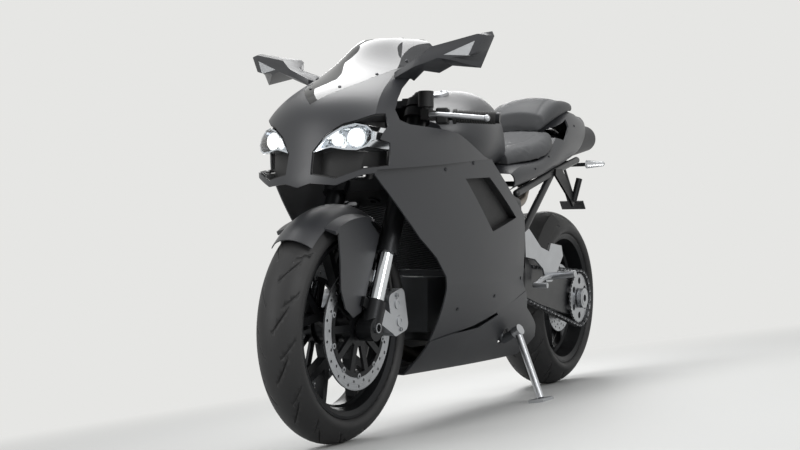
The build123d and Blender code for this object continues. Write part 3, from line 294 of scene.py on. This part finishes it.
bpy.ops.object.select_all(action="DESELECT")
bpy.ops.mesh.primitive_torus_add(major_radius=LIP_R, minor_radius=LIP_ROLL, major_segments=48,
                                 minor_segments=12)
lip = bpy.context.object
lip.scale = (1, 1, LIP_STRETCH)
bpy.ops.object.transform_apply(scale=True)
end_x, end_y, end_z = SILENCER_END
lips = gathered(lip, [stood((end_x, side * end_y, end_z), SILENCER_WAY) for side in SIDES])
settle(lips, "outlet_lips", "chassis", pipe_steel)

# Fairing, tank and tail: moulded panels and a pressed tank in satin grey paint, held by small round-headed
# screws. The nose ducts, the vent trays, the hugger and the switches are black grained mouldings.
# sprayed flat lacquer: a broad soft sheen and almost no grain
satin_paint = grained("satin grey paint", "#2f3033", 0.0, 0.4, 0.04, 1.6, 0.012, 160.0, 0.05)
coat(satin_paint, "nose_cowl", "side_fairing_left", "side_fairing_right", "belly_pan", "fuel_tank",
     "tail_cowl", "front_fender", "mirrors")
# spark grained in the mould: dull, with a fine pebble
black_moulding = grained("black moulded plastic", "#161617", 0.0, 0.58, 0.06, 0.9, 0.06)
coat(black_moulding, "nose_liners", "vent_liners", "rear_hugger", "bar_controls", "dash")
# plated heads: bright zinc where they are seen as metal, black zinc on the panels
screw_steel = grained("zinc plated steel", "#9a9c9f", 1.0, 0.3, 0.06, 0.8, 0.02)
black_zinc = grained("black zinc plated steel", "#3c3d40", 0.9, 0.4, 0.05, 0.8, 0.02)


def screw(radius, height):
    bpy.ops.object.select_all(action="DESELECT")
    bpy.ops.mesh.primitive_cylinder_add(vertices=18, radius=radius, depth=height,
                                        location=(0, 0, height / 2))
    head = bpy.context.object
    bpy.ops.object.transform_apply(location=True)
    for face in head.data.polygons:
        face.select = face.normal.z > 0.9
    bpy.ops.object.mode_set(mode="EDIT")
    bpy.ops.mesh.select_mode(type="FACE")
    bpy.ops.mesh.inset(thickness=0.3 * radius, depth=0.12 * height)
    bpy.ops.mesh.inset(thickness=0.22 * radius, depth=0.0)
    bpy.ops.mesh.extrude_region_move(TRANSFORM_OT_translate={"value": (0, 0, -0.6 * height)})
    bpy.ops.object.mode_set(mode="OBJECT")
    return head


def seat_on(node, start, way):
    piece = frame["nodes"][node]
    back = piece.matrix_world.inverted()
    origin = back @ (PLACE @ Vector(start))
    aim = (back.to_3x3() @ (PLACE.to_3x3() @ Vector(way))).normalized()
    hit, at, normal, _ = piece.ray_cast(origin, aim)
    if not hit:
        return None
    home = PLACE.inverted()
    up = (home.to_3x3() @ (piece.matrix_world.to_3x3() @ normal)).normalized()
    return home @ (piece.matrix_world @ at), up


def screws_on(name, node, rays, radius, height, sink=0.3):
    found = [seat_on(node, start, way) for start, way in rays]
    places = [stood(at - up * sink, up) for at, up in filter(None, found)]
    heads = gathered(screw(radius, height), places)
    return settle(heads, name, "chassis", black_zinc)


# side view of the screws: (x, z), and how far out the search for the panel starts
FLANK_SCREWS = [(364, 735), (507, 710), (359, 331), (165, 360), (-25, 407)]
TAIL_SCREWS = [(-200, 752), (-330, 800), (-640, 930)]
OUTSIDE = 500
for side, name in zip(SIDES, ("left", "right")):
    rays = [((x, side * OUTSIDE, z), (0, -side, 0)) for x, z in FLANK_SCREWS]
    screws_on("flank_screws_" + name, "side_fairing_" + name, rays, 4.6, 2.2)
rays = [((x, side * OUTSIDE, z), (0, -side, 0)) for x, z in TAIL_SCREWS for side in SIDES]
screws_on("tail_screws", "tail_cowl", rays, 4.2, 2.0)

# Mirrors: moulded nylon pods on short arms, painted with the fairing and screwed to its nose. The mould
# takes the sharpness off their corners.
SHELL_ROUND = 5.0
SHELL_FLAT = math.radians(4)
SHELL_CORNER = math.radians(30)
MERGE_MM = 0.01


def merged_copy(node):
    source = frame["nodes"][node]
    twin = source.copy()
    twin.data = source.data.copy()
    scene.collection.objects.link(twin)
    twin.parent = None
    twin.matrix_world = source.matrix_world
    only(twin)
    bpy.ops.object.transform_apply(location=True, rotation=True, scale=True)
    bpy.ops.object.mode_set(mode="EDIT")
    bpy.ops.mesh.select_all(action="SELECT")
    bpy.ops.mesh.remove_doubles(threshold=MERGE_MM * MM)
    bpy.ops.object.mode_set(mode="OBJECT")
    return twin


shells = merged_copy("mirrors")
bpy.ops.object.mode_set(mode="EDIT")
bpy.ops.mesh.select_all(action="SELECT")
bpy.ops.mesh.dissolve_limited(angle_limit=SHELL_FLAT)
bpy.ops.object.mode_set(mode="OBJECT")
rounding = shells.modifiers.new("rounding", "BEVEL")
rounding.width = SHELL_ROUND * MM
rounding.segments = 3
rounding.limit_method = "ANGLE"
rounding.angle_limit = SHELL_CORNER
bpy.ops.object.modifier_apply(modifier="rounding")
settle(shells, "mirror_shells", "chassis", satin_paint, 50)
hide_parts("mirrors")

# Screen: one sheet of smoked acrylic, drawn to shape over a mould, with a polished face. It is held to the
# cowl by small screws along its lower edge.
SCREEN_SCREWS = [(768, 44), (664, 92), (546, 115)]
ABOVE = 1300
# clear and dark at once: sharp reflections over a nearly black sheet
smoked, tree, shader = new_material("smoked acrylic")
shader.inputs["Base Color"].default_value = linear("#141518")
shader.inputs["Transmission Weight"].default_value = 0.55
shader.inputs["Roughness"].default_value = 0.03
shader.inputs["IOR"].default_value = 1.49
coat(smoked, "windscreen")
rays = [((x, side * y, ABOVE), (0, 0, -1)) for x, y in SCREEN_SCREWS for side in SIDES]
screws_on("screen_screws", "windscreen", rays, 4.2, 2.2)

# Headlamps: clear moulded lenses over bright trays, each with a projector in a chromed ring and a smaller
# reflector bowl beside it. Both are lit.
# polished and colourless, with a low index so that the bowls behind it stay in sight
clear, tree, shader = new_material("clear polycarbonate")
shader.inputs["Base Color"].default_value = linear("#f5f7f9")
shader.inputs["Transmission Weight"].default_value = 1.0
shader.inputs["Roughness"].default_value = 0.02
shader.inputs["IOR"].default_value = 1.3
coat(clear, "headlamp_lenses")
# ribbed inside, so half clear and half milky
marker_lens, tree, shader = new_material("clear indicator lens")
shader.inputs["Base Color"].default_value = linear("#dfe1e3")
shader.inputs["Transmission Weight"].default_value = 0.5
shader.inputs["Roughness"].default_value = 0.12
coat(marker_lens, "rear_indicators", "mirror_lenses")
# metal steamed on to moulded plastic: mirror bright, a little wavy
bright = grained("vacuum bright reflector", "#dfe2e6", 1.0, 0.12, 0.03, 3.0, 0.01)
coat(bright, "headlamp_trays")
# silver behind flat glass: a clean mirror
silvered = grained("silvered glass", "#c9ced3", 1.0, 0.03, 0.01, 4.0, 0.002)
coat(silvered, "mirror_glasses")
# dyed through and glossy
red_lens = grained("red acrylic", "#8e0d10", 0.0, 0.15, 0.04, 2.0, 0.02)
coat(red_lens, "tail_lamp")
# glowing white glass with a faint warmth
lit, tree, shader = new_material("lit bulb glass")
shader.inputs["Base Color"].default_value = linear("#fbfaf4")
shader.inputs["Roughness"].default_value = 0.08
shader.inputs["Emission Color"].default_value = linear("#fffdf4")
shader.inputs["Emission Strength"].default_value = 1.6
# front view of the bowls: (y, z, radius, depth behind the lens)
BOWLS = [(128, 774, 22, 30), (88, 768, 15, 26)]
BOWL_INWARD = 6
AHEAD = 1200
LAMP_FORWARD = Vector((0.94, 0.0, 0.04))
LAMP_OUTWARD = 0.2
BEZEL_R = 1.12
BEZEL_ROLL = 0.12
BEZEL_STRETCH = 1.5


def bowl():
    bpy.ops.object.select_all(action="DESELECT")
    bpy.ops.mesh.primitive_uv_sphere_add(segments=28, ring_count=14, radius=1)
    ball = bpy.context.object
    bpy.ops.object.mode_set(mode="EDIT")
    bpy.ops.mesh.select_all(action="SELECT")
    bpy.ops.mesh.bisect(plane_co=(0, 0, 0.1), plane_no=(0, 0, 1), clear_inner=True, use_fill=True)
    bpy.ops.mesh.select_all(action="SELECT")
    bpy.ops.transform.resize(value=(1, 1, 0.55))
    bpy.ops.object.mode_set(mode="OBJECT")
    return ball


def bezel():
    bpy.ops.object.select_all(action="DESELECT")
    bpy.ops.mesh.primitive_torus_add(major_radius=BEZEL_R, minor_radius=BEZEL_ROLL, major_segments=40,
                                     minor_segments=10)
    ring = bpy.context.object
    ring.scale = (1, 1, BEZEL_STRETCH)
    bpy.ops.object.transform_apply(scale=True)
    return ring


bowl_places = []
for y, z, radius, depth in BOWLS:
    for side in SIDES:
        found = seat_on("headlamp_lenses", (AHEAD, side * y, z), (-1, 0, 0))
        if found:
            way = Vector((LAMP_FORWARD.x, side * LAMP_OUTWARD, LAMP_FORWARD.z)).normalized()
            at = found[0] - Vector((depth, side * BOWL_INWARD, 0))
            bowl_places.append(stood(at, way) @ Matrix.Scale(radius, 4))
settle(gathered(bowl(), bowl_places), "lamp_projectors", "chassis", lit)
settle(gathered(bezel(), bowl_places), "lamp_rings", "chassis", bright)

# Tank cap: a turned alloy ring with a flush lock plate in its middle, let into the top of the pressed tank.
# Six socket screws hold it down.
CAP_X = 150
CAP_R = 36
CAP_THICK = 10
CAP_SCREWS = 6
CAP_SCREW_CIRCLE = 29
CAP_SCREW_RISE = 5.4
# fine turning marks: a grey metal with soft highlights
bare_alloy = grained("bare machined alloy", "#b4b6b9", 1.0, 0.4, 0.06, 0.8, 0.02)
cap_at, cap_up = seat_on("fuel_tank", (CAP_X, 0, ABOVE), (0, 0, -1))
bpy.ops.object.select_all(action="DESELECT")
bpy.ops.mesh.primitive_cylinder_add(vertices=48, radius=CAP_R, depth=CAP_THICK, location=(0, 0, 0))
cap = bpy.context.object
for face in cap.data.polygons:
    face.select = face.normal.z > 0.9
bpy.ops.object.mode_set(mode="EDIT")
bpy.ops.mesh.select_mode(type="FACE")
bpy.ops.mesh.inset(thickness=2.0, depth=1.5)
bpy.ops.mesh.inset(thickness=12.0)
bpy.ops.mesh.extrude_region_move(TRANSFORM_OT_translate={"value": (0, 0, -3)})
bpy.ops.mesh.inset(thickness=1.5)
bpy.ops.mesh.extrude_region_move(TRANSFORM_OT_translate={"value": (0, 0, 2.0)})
bpy.ops.object.mode_set(mode="OBJECT")
settle(gathered(cap, [stood(cap_at, cap_up)]), "filler_cap", "chassis", bare_alloy)
cap_turn = cap_up.to_track_quat("Z", "Y").to_matrix()
cap_screws = []
for count in range(CAP_SCREWS):
    angle = 2 * math.pi * (count + 0.5) / CAP_SCREWS
    spoke = Vector((math.cos(angle), math.sin(angle), 0)) * CAP_SCREW_CIRCLE
    at = cap_at + cap_turn @ (spoke + Vector((0, 0, CAP_SCREW_RISE)))
    cap_screws.append(stood(at, cap_up))
settle(gathered(screw(3.2, 2.6), cap_screws), "cap_screws", "chassis", screw_steel)

# Seats: foam pads under a smooth grained cover, moulded to the tail and sewn along the edge of the top
# panel. The foam swells the cover a little between its seams.
PAD_VOXEL = 6.0
PAD_SHRINK = 2.5
PAD_CAP = 5.0
PAD_PRESSURE = 4.0
PAD_FRAMES = 20
SEAM_WIDE = 7.0
SEAM_DEEP = 1.8
# embossed vinyl: dull, with a grain that is drawn coarser than it is, so that it shows
seat_cover = grained("grained seat cover", "#3a3b3d", 0.0, 0.6, 0.06, 1.6, 0.12)
coat(seat_cover, "rider_seat", "passenger_seat")


def pad_from(node, name, seam_y):
    pad = merged_copy(node)
    bpy.ops.object.mode_set(mode="EDIT")
    bpy.ops.mesh.select_all(action="SELECT")
    bpy.ops.transform.shrink_fatten(value=-PAD_SHRINK * MM)
    bpy.ops.object.mode_set(mode="OBJECT")
    pad.data.remesh_voxel_size = PAD_VOXEL * MM
    bpy.ops.object.voxel_remesh()
    rest = [vertex.co.copy() for vertex in pad.data.vertices]
    cloth = pad.modifiers.new("cover", "CLOTH")
    cloth.settings.use_pressure = True
    cloth.settings.uniform_pressure_force = PAD_PRESSURE
    cloth.settings.effector_weights.gravity = 0
    for count in range(1, PAD_FRAMES + 1):
        scene.frame_set(count)
    bpy.ops.object.modifier_apply(modifier="cover")
    scene.frame_set(1)
    # the cover can't stretch further than its seams let it, and is drawn in along them
    home = PLACE.inverted()
    normals = [vertex.normal.copy() for vertex in pad.data.vertices]
    for vertex, start, normal in zip(pad.data.vertices, rest, normals):
        move = vertex.co - start
        if move.length > PAD_CAP * MM:
            vertex.co = start + move.normalized() * PAD_CAP * MM
        spot = home @ vertex.co
        up = (LEAN.inverted().to_3x3() @ normal).z
        near = abs(abs(spot.y) - seam_y(spot.x))
        if near < SEAM_WIDE and up > 0.2:
            drawn = SEAM_DEEP * (1 - (near / SEAM_WIDE) ** 2) ** 2
            vertex.co = vertex.co - normal * drawn * MM
    smooth = pad.modifiers.new("smooth", "SUBSURF")
    smooth.levels = 1
    smooth.render_levels = 1
    bpy.ops.object.modifier_apply(modifier="smooth")
    settle(pad, name, "chassis", seat_cover, 60)
    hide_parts(node)
    return pad


def rider_seam(x):
    return 62 + 36 * max(0.0, min(1.0, (-x - 118) / 180))


def passenger_seam(x):
    return 78 - 20 * max(0.0, min(1.0, (-x - 620) / 150))


pad_from("rider_seat", "rider_pad", rider_seam)
pad_from("passenger_seat", "passenger_pad", passenger_seam)

# Dash: a black moulded case behind the screen, with a dark glass that faces the rider. The glass is a
# flat pane with eased edges, glued on to the case.
DASH_AT = Vector((622, 0, 918))
DASH_TILT = math.radians(30)
DASH_BACK = Vector((-math.cos(DASH_TILT), 0, math.sin(DASH_TILT)))
DASH_GLASS = (60, 124, 2.4)
DASH_GLASS_OFF = 18.6
# hard coated: almost black, with a sharp gloss
glass, tree, shader = new_material("dark instrument glass")
shader.inputs["Base Color"].default_value = linear("#0b0c0e")
shader.inputs["Roughness"].default_value = 0.06
bpy.ops.object.select_all(action="DESELECT")
bpy.ops.mesh.primitive_cube_add(size=1)
pane = bpy.context.object
pane.scale = DASH_GLASS
bpy.ops.object.transform_apply(scale=True)
round_off = pane.modifiers.new("edge", "BEVEL")
round_off.width = 0.9
round_off.segments = 2
bpy.ops.object.modifier_apply(modifier="edge")
pane_turn = stood(DASH_AT + DASH_BACK * DASH_GLASS_OFF, DASH_BACK)
settle(gathered(pane, [pane_turn]), "dash_glass", "chassis", glass)

# Wheels: cast alloy rims, black anodised, with drilled steel discs that float on round bobbins. The discs
# are ground in circles about the axle.
GRIND_MM = 3.0
# dyed oxide on cast or forged alloy: black, with a metal's sheen
black_anodised = grained("black anodised alloy", "#1d1e20", 0.7, 0.4, 0.05, 0.8, 0.02)
coat(black_anodised, "yokes", "fork_tubes", "fork_feet", "clip_ons", "rotor_carriers", "passenger_rests",
     "rear_caliper", "sprocket_cover", "front_rim", "rear_rim")


# rings of fine scratches, drawn 3 mm apart so that they show, bright and dull by turns
def ground_disc(name, axle):
    material, tree, shader = new_material(name)
    shader.inputs["Metallic"].default_value = 1.0
    spot = add(tree, "ShaderNodeTexCoord").outputs["Object"]
    centre = PLACE @ axle
    moved = add(tree, "ShaderNodeVectorMath", {"operation": "SUBTRACT"}, {0: spot})
    moved.inputs[1].default_value = centre
    axis = PLACE.to_3x3() @ Vector((0, 1, 0))
    along = add(tree, "ShaderNodeVectorMath", {"operation": "CROSS_PRODUCT"}, {0: moved.outputs[0]})
    along.inputs[1].default_value = axis.normalized()
    reach = add(tree, "ShaderNodeVectorMath", {"operation": "LENGTH"}, {0: along.outputs[0]})
    rings = add(tree, "ShaderNodeTexNoise",
                {"noise_dimensions": "1D", "Scale": 1 / (GRIND_MM * MM), "Detail": 3.0},
                {"W": reach.outputs["Value"]})
    rough = add(tree, "ShaderNodeMapRange", {"To Min": 0.2, "To Max": 0.45},
                {"Value": rings.outputs["Fac"]})
    tone = add(tree, "ShaderNodeMix", {"data_type": "RGBA"}, {0: rings.outputs["Fac"]})
    tone.inputs[6].default_value = linear("#8d8f92")
    tone.inputs[7].default_value = linear("#c3c5c8")
    tree.links.new(tone.outputs[2], shader.inputs["Base Color"])
    tree.links.new(rough.outputs[0], shader.inputs["Roughness"])
    return material


coat(ground_disc("ground front disc steel", FRONT_AXLE), "front_rotors")
coat(ground_disc("ground rear disc steel", REAR_AXLE), "rear_rotor")
# axle, height of the disc's mid plane, bobbin circle, bobbins, body
BOBBIN_OFF = 2.3
BOBBINS = [(FRONT_AXLE, 66, 124.5, 10, "front_wheel"), (FRONT_AXLE, -66, 124.5, 10, "front_wheel"),
           (REAR_AXLE, 50, 82, 6, "rear_wheel")]
bobbin_places = {"front_wheel": [], "rear_wheel": []}
for axle, height, circle, count, body in BOBBINS:
    for turn in range(count):
        angle = 2 * math.pi * (turn + 0.5) / count
        spoke = Vector((math.cos(angle), 0, math.sin(angle)))
        for side in SIDES:
            at = axle + spoke * circle + Vector((0, height + side * BOBBIN_OFF, 0))
            bobbin_places[body].append(stood(at, (0, side, 0)))
for body, places in bobbin_places.items():
    settle(gathered(screw(7.5, 2.0), places), body + "_bobbins", body, screw_steel)

# Tyres: round road tyres with thin slanted sipes across each side of the crown, moulded in black rubber with
# a smooth sidewall.
SIPE_REACH = 14
# rubber fresh from the mould: black, dull and a little patchy
tyre_rubber = grained("tyre rubber", "#1b1b1c", 0.0, 0.6, 0.1, 2.0, 0.05)
coat(tyre_rubber, "front_tyre", "rear_tyre")
# axle, outer radius, crown arc radius, repeats, body
TYRES = {
    "front_tyre": (FRONT_AXLE, 300.0, 64.0, 15, "front_wheel"),
    "rear_tyre": (REAR_AXLE, 315.0, 97.0, 14, "rear_wheel"),
}
# sipe ends as angles on the crown arc and shares of a repeat, with its width in mm
SIPES = [(8, 44, 0.0, 0.55, 3.6), (26, 60, 0.5, 0.85, 3.0)]


def sipe_cutter():
    bpy.ops.object.select_all(action="DESELECT")
    bpy.ops.mesh.primitive_cube_add(size=1, location=(0, 0, 0.5))
    blade = bpy.context.object
    bpy.ops.object.transform_apply(location=True)
    bpy.ops.object.mode_set(mode="EDIT")
    bpy.ops.mesh.select_all(action="SELECT")
    bpy.ops.mesh.subdivide(number_cuts=1)
    bpy.ops.object.mode_set(mode="OBJECT")
    return blade


def crown_point(axle, radius, arc, bank, turn, side):
    lift = radius - arc + arc * math.cos(bank)
    return axle + Vector((lift * math.cos(turn), side * arc * math.sin(bank), lift * math.sin(turn)))


for node, (axle, radius, arc, repeats, body) in TYRES.items():
    cuts = []
    for side in SIDES:
        for count in range(repeats):
            for low, high, start, end, width in SIPES:
                shift = 0.5 if side < 0 else 0.0
                turns = [2 * math.pi * (count + shift + share) / repeats for share in (start, end)]
                banks = [math.radians(low), math.radians(high)]
                ends = [crown_point(axle, radius, arc, bank, turn, side)
                        for bank, turn in zip(banks, turns)]
                middle = (ends[0] + ends[1]) / 2
                out = crown_point(axle, radius, arc, sum(banks) / 2, sum(turns) / 2, side) - axle
                core = Vector((out.x, 0, out.z)).normalized() * (radius - arc)
                along = (ends[1] - ends[0]).normalized()
                up = out - core
                up = (up - along * up.dot(along)).normalized()
                across = up.cross(along)
                turn3 = Matrix((along, across, up)).transposed().to_4x4()
                size = Matrix.Diagonal(((ends[1] - ends[0]).length, width, SIPE_REACH, 1))
                cuts.append(Matrix.Translation(middle) @ turn3 @ size)
    cutter = gathered(sipe_cutter(), cuts)
    only(cutter)
    bpy.ops.object.transform_apply(location=True, rotation=True, scale=True)
    tyre = merged_copy(node)
    carve = tyre.modifiers.new("sipes", "BOOLEAN")
    carve.operation = "DIFFERENCE"
    carve.solver = "EXACT"
    carve.object = cutter
    bpy.ops.object.modifier_apply(modifier="sipes")
    bpy.data.objects.remove(cutter)
    settle(tyre, "siped_" + node, body, tyre_rubber, 40)
    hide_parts(node)

# Fork and brakes: chromed stanchions under black tubes, and machined radial calipers with turned piston
# caps and mounting bolts, fed by rubber hoses.
RAKE = math.radians(24.5)
FORK_PLACE = Matrix.Translation(FRONT_AXLE) @ Matrix.Rotation(-RAKE, 4, "Y")
CALIPER_AT = (-106, 111, 84)
CALIPER_TANGENT = Vector((0.623, 0, 0.783))
PISTON_CAP_R = 15.0
PISTON_SPACING = 24
BOLT_SPACING = 47
# polished hard plating: a bright mirror on a round tube
chrome = grained("hard chrome", "#d5d8db", 1.0, 0.1, 0.03, 2.0, 0.0)
coat(chrome, "fork_stanchions")
coat(bare_alloy, "front_calipers", "levers", "footrests", "foot_levers", "side_stand")
# turned and ground: an even grey metal
steel = grained("ground steel", "#a9abae", 1.0, 0.34, 0.06, 0.7, 0.02)
coat(steel, "front_axle", "rear_axle", "rear_sprocket", "rear_shock")
# extruded rubber: dull and black
hose_rubber = grained("hose rubber", "#161616", 0.0, 0.55, 0.05, 1.5, 0.05)
coat(hose_rubber, "brake_hoses")
cap_places = []
bolt_places = []
for side in SIDES:
    middle = Vector((CALIPER_AT[0], side * CALIPER_AT[1], CALIPER_AT[2]))
    for along in (-PISTON_SPACING, PISTON_SPACING):
        cap_places.append(FORK_PLACE @ stood(middle + CALIPER_TANGENT * along, (0, side, 0)))
    for along in (-BOLT_SPACING, BOLT_SPACING):
        bolt_places.append(FORK_PLACE @ stood(middle + CALIPER_TANGENT * along, (0, side, 0)))
settle(gathered(screw(PISTON_CAP_R, 2.5), cap_places), "piston_caps", "steering", bare_alloy)
settle(gathered(screw(5.5, 4.0), bolt_places), "caliper_bolts", "steering", screw_steel)

# Bars: rubber grips pushed over the ends of the clip-on tubes, moulded with rings of low ribs that run
# around them.
BAR_ROOT = Vector((468, 122, 862))
BAR_END = Vector((404, 322, 850))
GRIP_FROM = 0.48
GRIP_TO = 0.93
RIBS = 15
RIB_R = 16.3
RIB_ROLL = 1.5
RIB_STRETCH = 1.4
# soft rubber: matt black with no highlights
grip_rubber = grained("grip rubber", "#151515", 0.0, 0.7, 0.05, 1.5, 0.1)
coat(grip_rubber, "grips")
bpy.ops.object.select_all(action="DESELECT")
bpy.ops.mesh.primitive_torus_add(major_radius=RIB_R, minor_radius=RIB_ROLL, major_segments=30,
                                 minor_segments=8)
rib = bpy.context.object
rib.scale = (1, 1, RIB_STRETCH)
bpy.ops.object.transform_apply(scale=True)
rib_places = []
for side in SIDES:
    root = Vector((BAR_ROOT.x, side * BAR_ROOT.y, BAR_ROOT.z))
    end = Vector((BAR_END.x, side * BAR_END.y, BAR_END.z))
    for count in range(RIBS):
        share = GRIP_FROM + (GRIP_TO - GRIP_FROM) * count / (RIBS - 1)
        rib_places.append(stood(root + (end - root) * share, end - root))
settle(gathered(rib, rib_places), "grip_ribs", "steering", grip_rubber)

# Chain: stamped steel links of two plates on pins, wide and narrow by turns, riveted into one loop around
# the rear sprocket and the gearbox sprocket.
CHAIN_Y = 126.0
REAR_PITCH_R = 98.0
FRONT_PITCH_R = 44.0
GEARBOX_SHAFT = Vector((-122, 0, 400))
LINK_HIGH = 11.4
PLATE_THICK = 1.5
PIN_R = 4.2
PIN_PROUD = 3.2
CHAIN_PITCH = 15.875
# stamped plates with a film of oil: dark metal with wet highlights
link_steel = grained("oiled chain steel", "#77787a", 1.0, 0.36, 0.08, 0.9, 0.03)
coat(link_steel, "chain")
span = GEARBOX_SHAFT - REAR_AXLE
tilt = math.atan2(span.z, span.x)
spread = math.acos((REAR_PITCH_R - FRONT_PITCH_R) / span.length)
run = math.sqrt(span.length ** 2 - (REAR_PITCH_R - FRONT_PITCH_R) ** 2)
front_arc = FRONT_PITCH_R * 2 * spread
rear_arc = REAR_PITCH_R * 2 * (math.pi - spread)
whole = 2 * run + front_arc + rear_arc
links = 2 * round(whole / CHAIN_PITCH / 2)
pitch = whole / links


def on_rear(angle):
    return REAR_AXLE + REAR_PITCH_R * Vector((math.cos(angle), 0, math.sin(angle)))


def on_front(angle):
    return GEARBOX_SHAFT + FRONT_PITCH_R * Vector((math.cos(angle), 0, math.sin(angle)))


def chain_point(length):
    length = length % whole
    if length < run:
        start = on_rear(tilt + spread)
        end = on_front(tilt + spread)
        return start + (end - start) * length / run
    length -= run
    if length < front_arc:
        return on_front(tilt + spread - length / FRONT_PITCH_R)
    length -= front_arc
    if length < run:
        start = on_front(tilt - spread)
        end = on_rear(tilt - spread)
        return start + (end - start) * length / run
    length -= run
    return on_rear(tilt - spread - length / REAR_PITCH_R)


def link(half_width):
    parts = []
    for side in SIDES:
        bpy.ops.mesh.primitive_cube_add(size=1, location=(0, side * half_width, 0))
        plate = bpy.context.object
        plate.scale = (pitch + LINK_HIGH, PLATE_THICK, LINK_HIGH)
        bpy.ops.object.transform_apply(location=True, scale=True)
        for edge in plate.data.edges:
            ends = [plate.data.vertices[index].co for index in edge.vertices]
            edge.select = abs(ends[0].y - ends[1].y) > 0.5
        bpy.ops.object.mode_set(mode="EDIT")
        bpy.ops.mesh.select_mode(type="EDGE")
        bpy.ops.mesh.bevel(offset=LINK_HIGH * 0.46, segments=3, affect="EDGES")
        bpy.ops.object.mode_set(mode="OBJECT")
        parts.append(plate)
    bpy.ops.mesh.primitive_cylinder_add(vertices=10, radius=PIN_R, depth=2 * half_width + PIN_PROUD,
                                        location=(pitch / 2, 0, 0), rotation=(math.pi / 2, 0, 0))
    pin = bpy.context.object
    bpy.ops.object.transform_apply(location=True, rotation=True)
    parts.append(pin)
    only(parts[0])
    for part in parts:
        part.select_set(True)
    bpy.ops.object.join()
    return parts[0]


for half_width, first, name in ((5.2, 0, "wide_links"), (3.4, 1, "narrow_links")):
    bpy.ops.object.select_all(action="DESELECT")
    places = []
    for count in range(first, links, 2):
        back = chain_point(pitch * count)
        ahead = chain_point(pitch * (count + 1))
        along = (ahead - back).normalized()
        across = Vector((0, 1, 0))
        up = along.cross(across)
        turn3 = Matrix((along, across, up)).transposed().to_4x4()
        places.append(Matrix.Translation((back + ahead) / 2 + Vector((0, CHAIN_Y, 0))) @ turn3)
    chain_links = settle(gathered(link(half_width), places), name, "chassis", link_steel)
    if name == "wide_links":
        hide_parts("chain")

# Size of the dressed machine: the low and high corners of every shown piece, leaving out the floor
low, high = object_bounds()
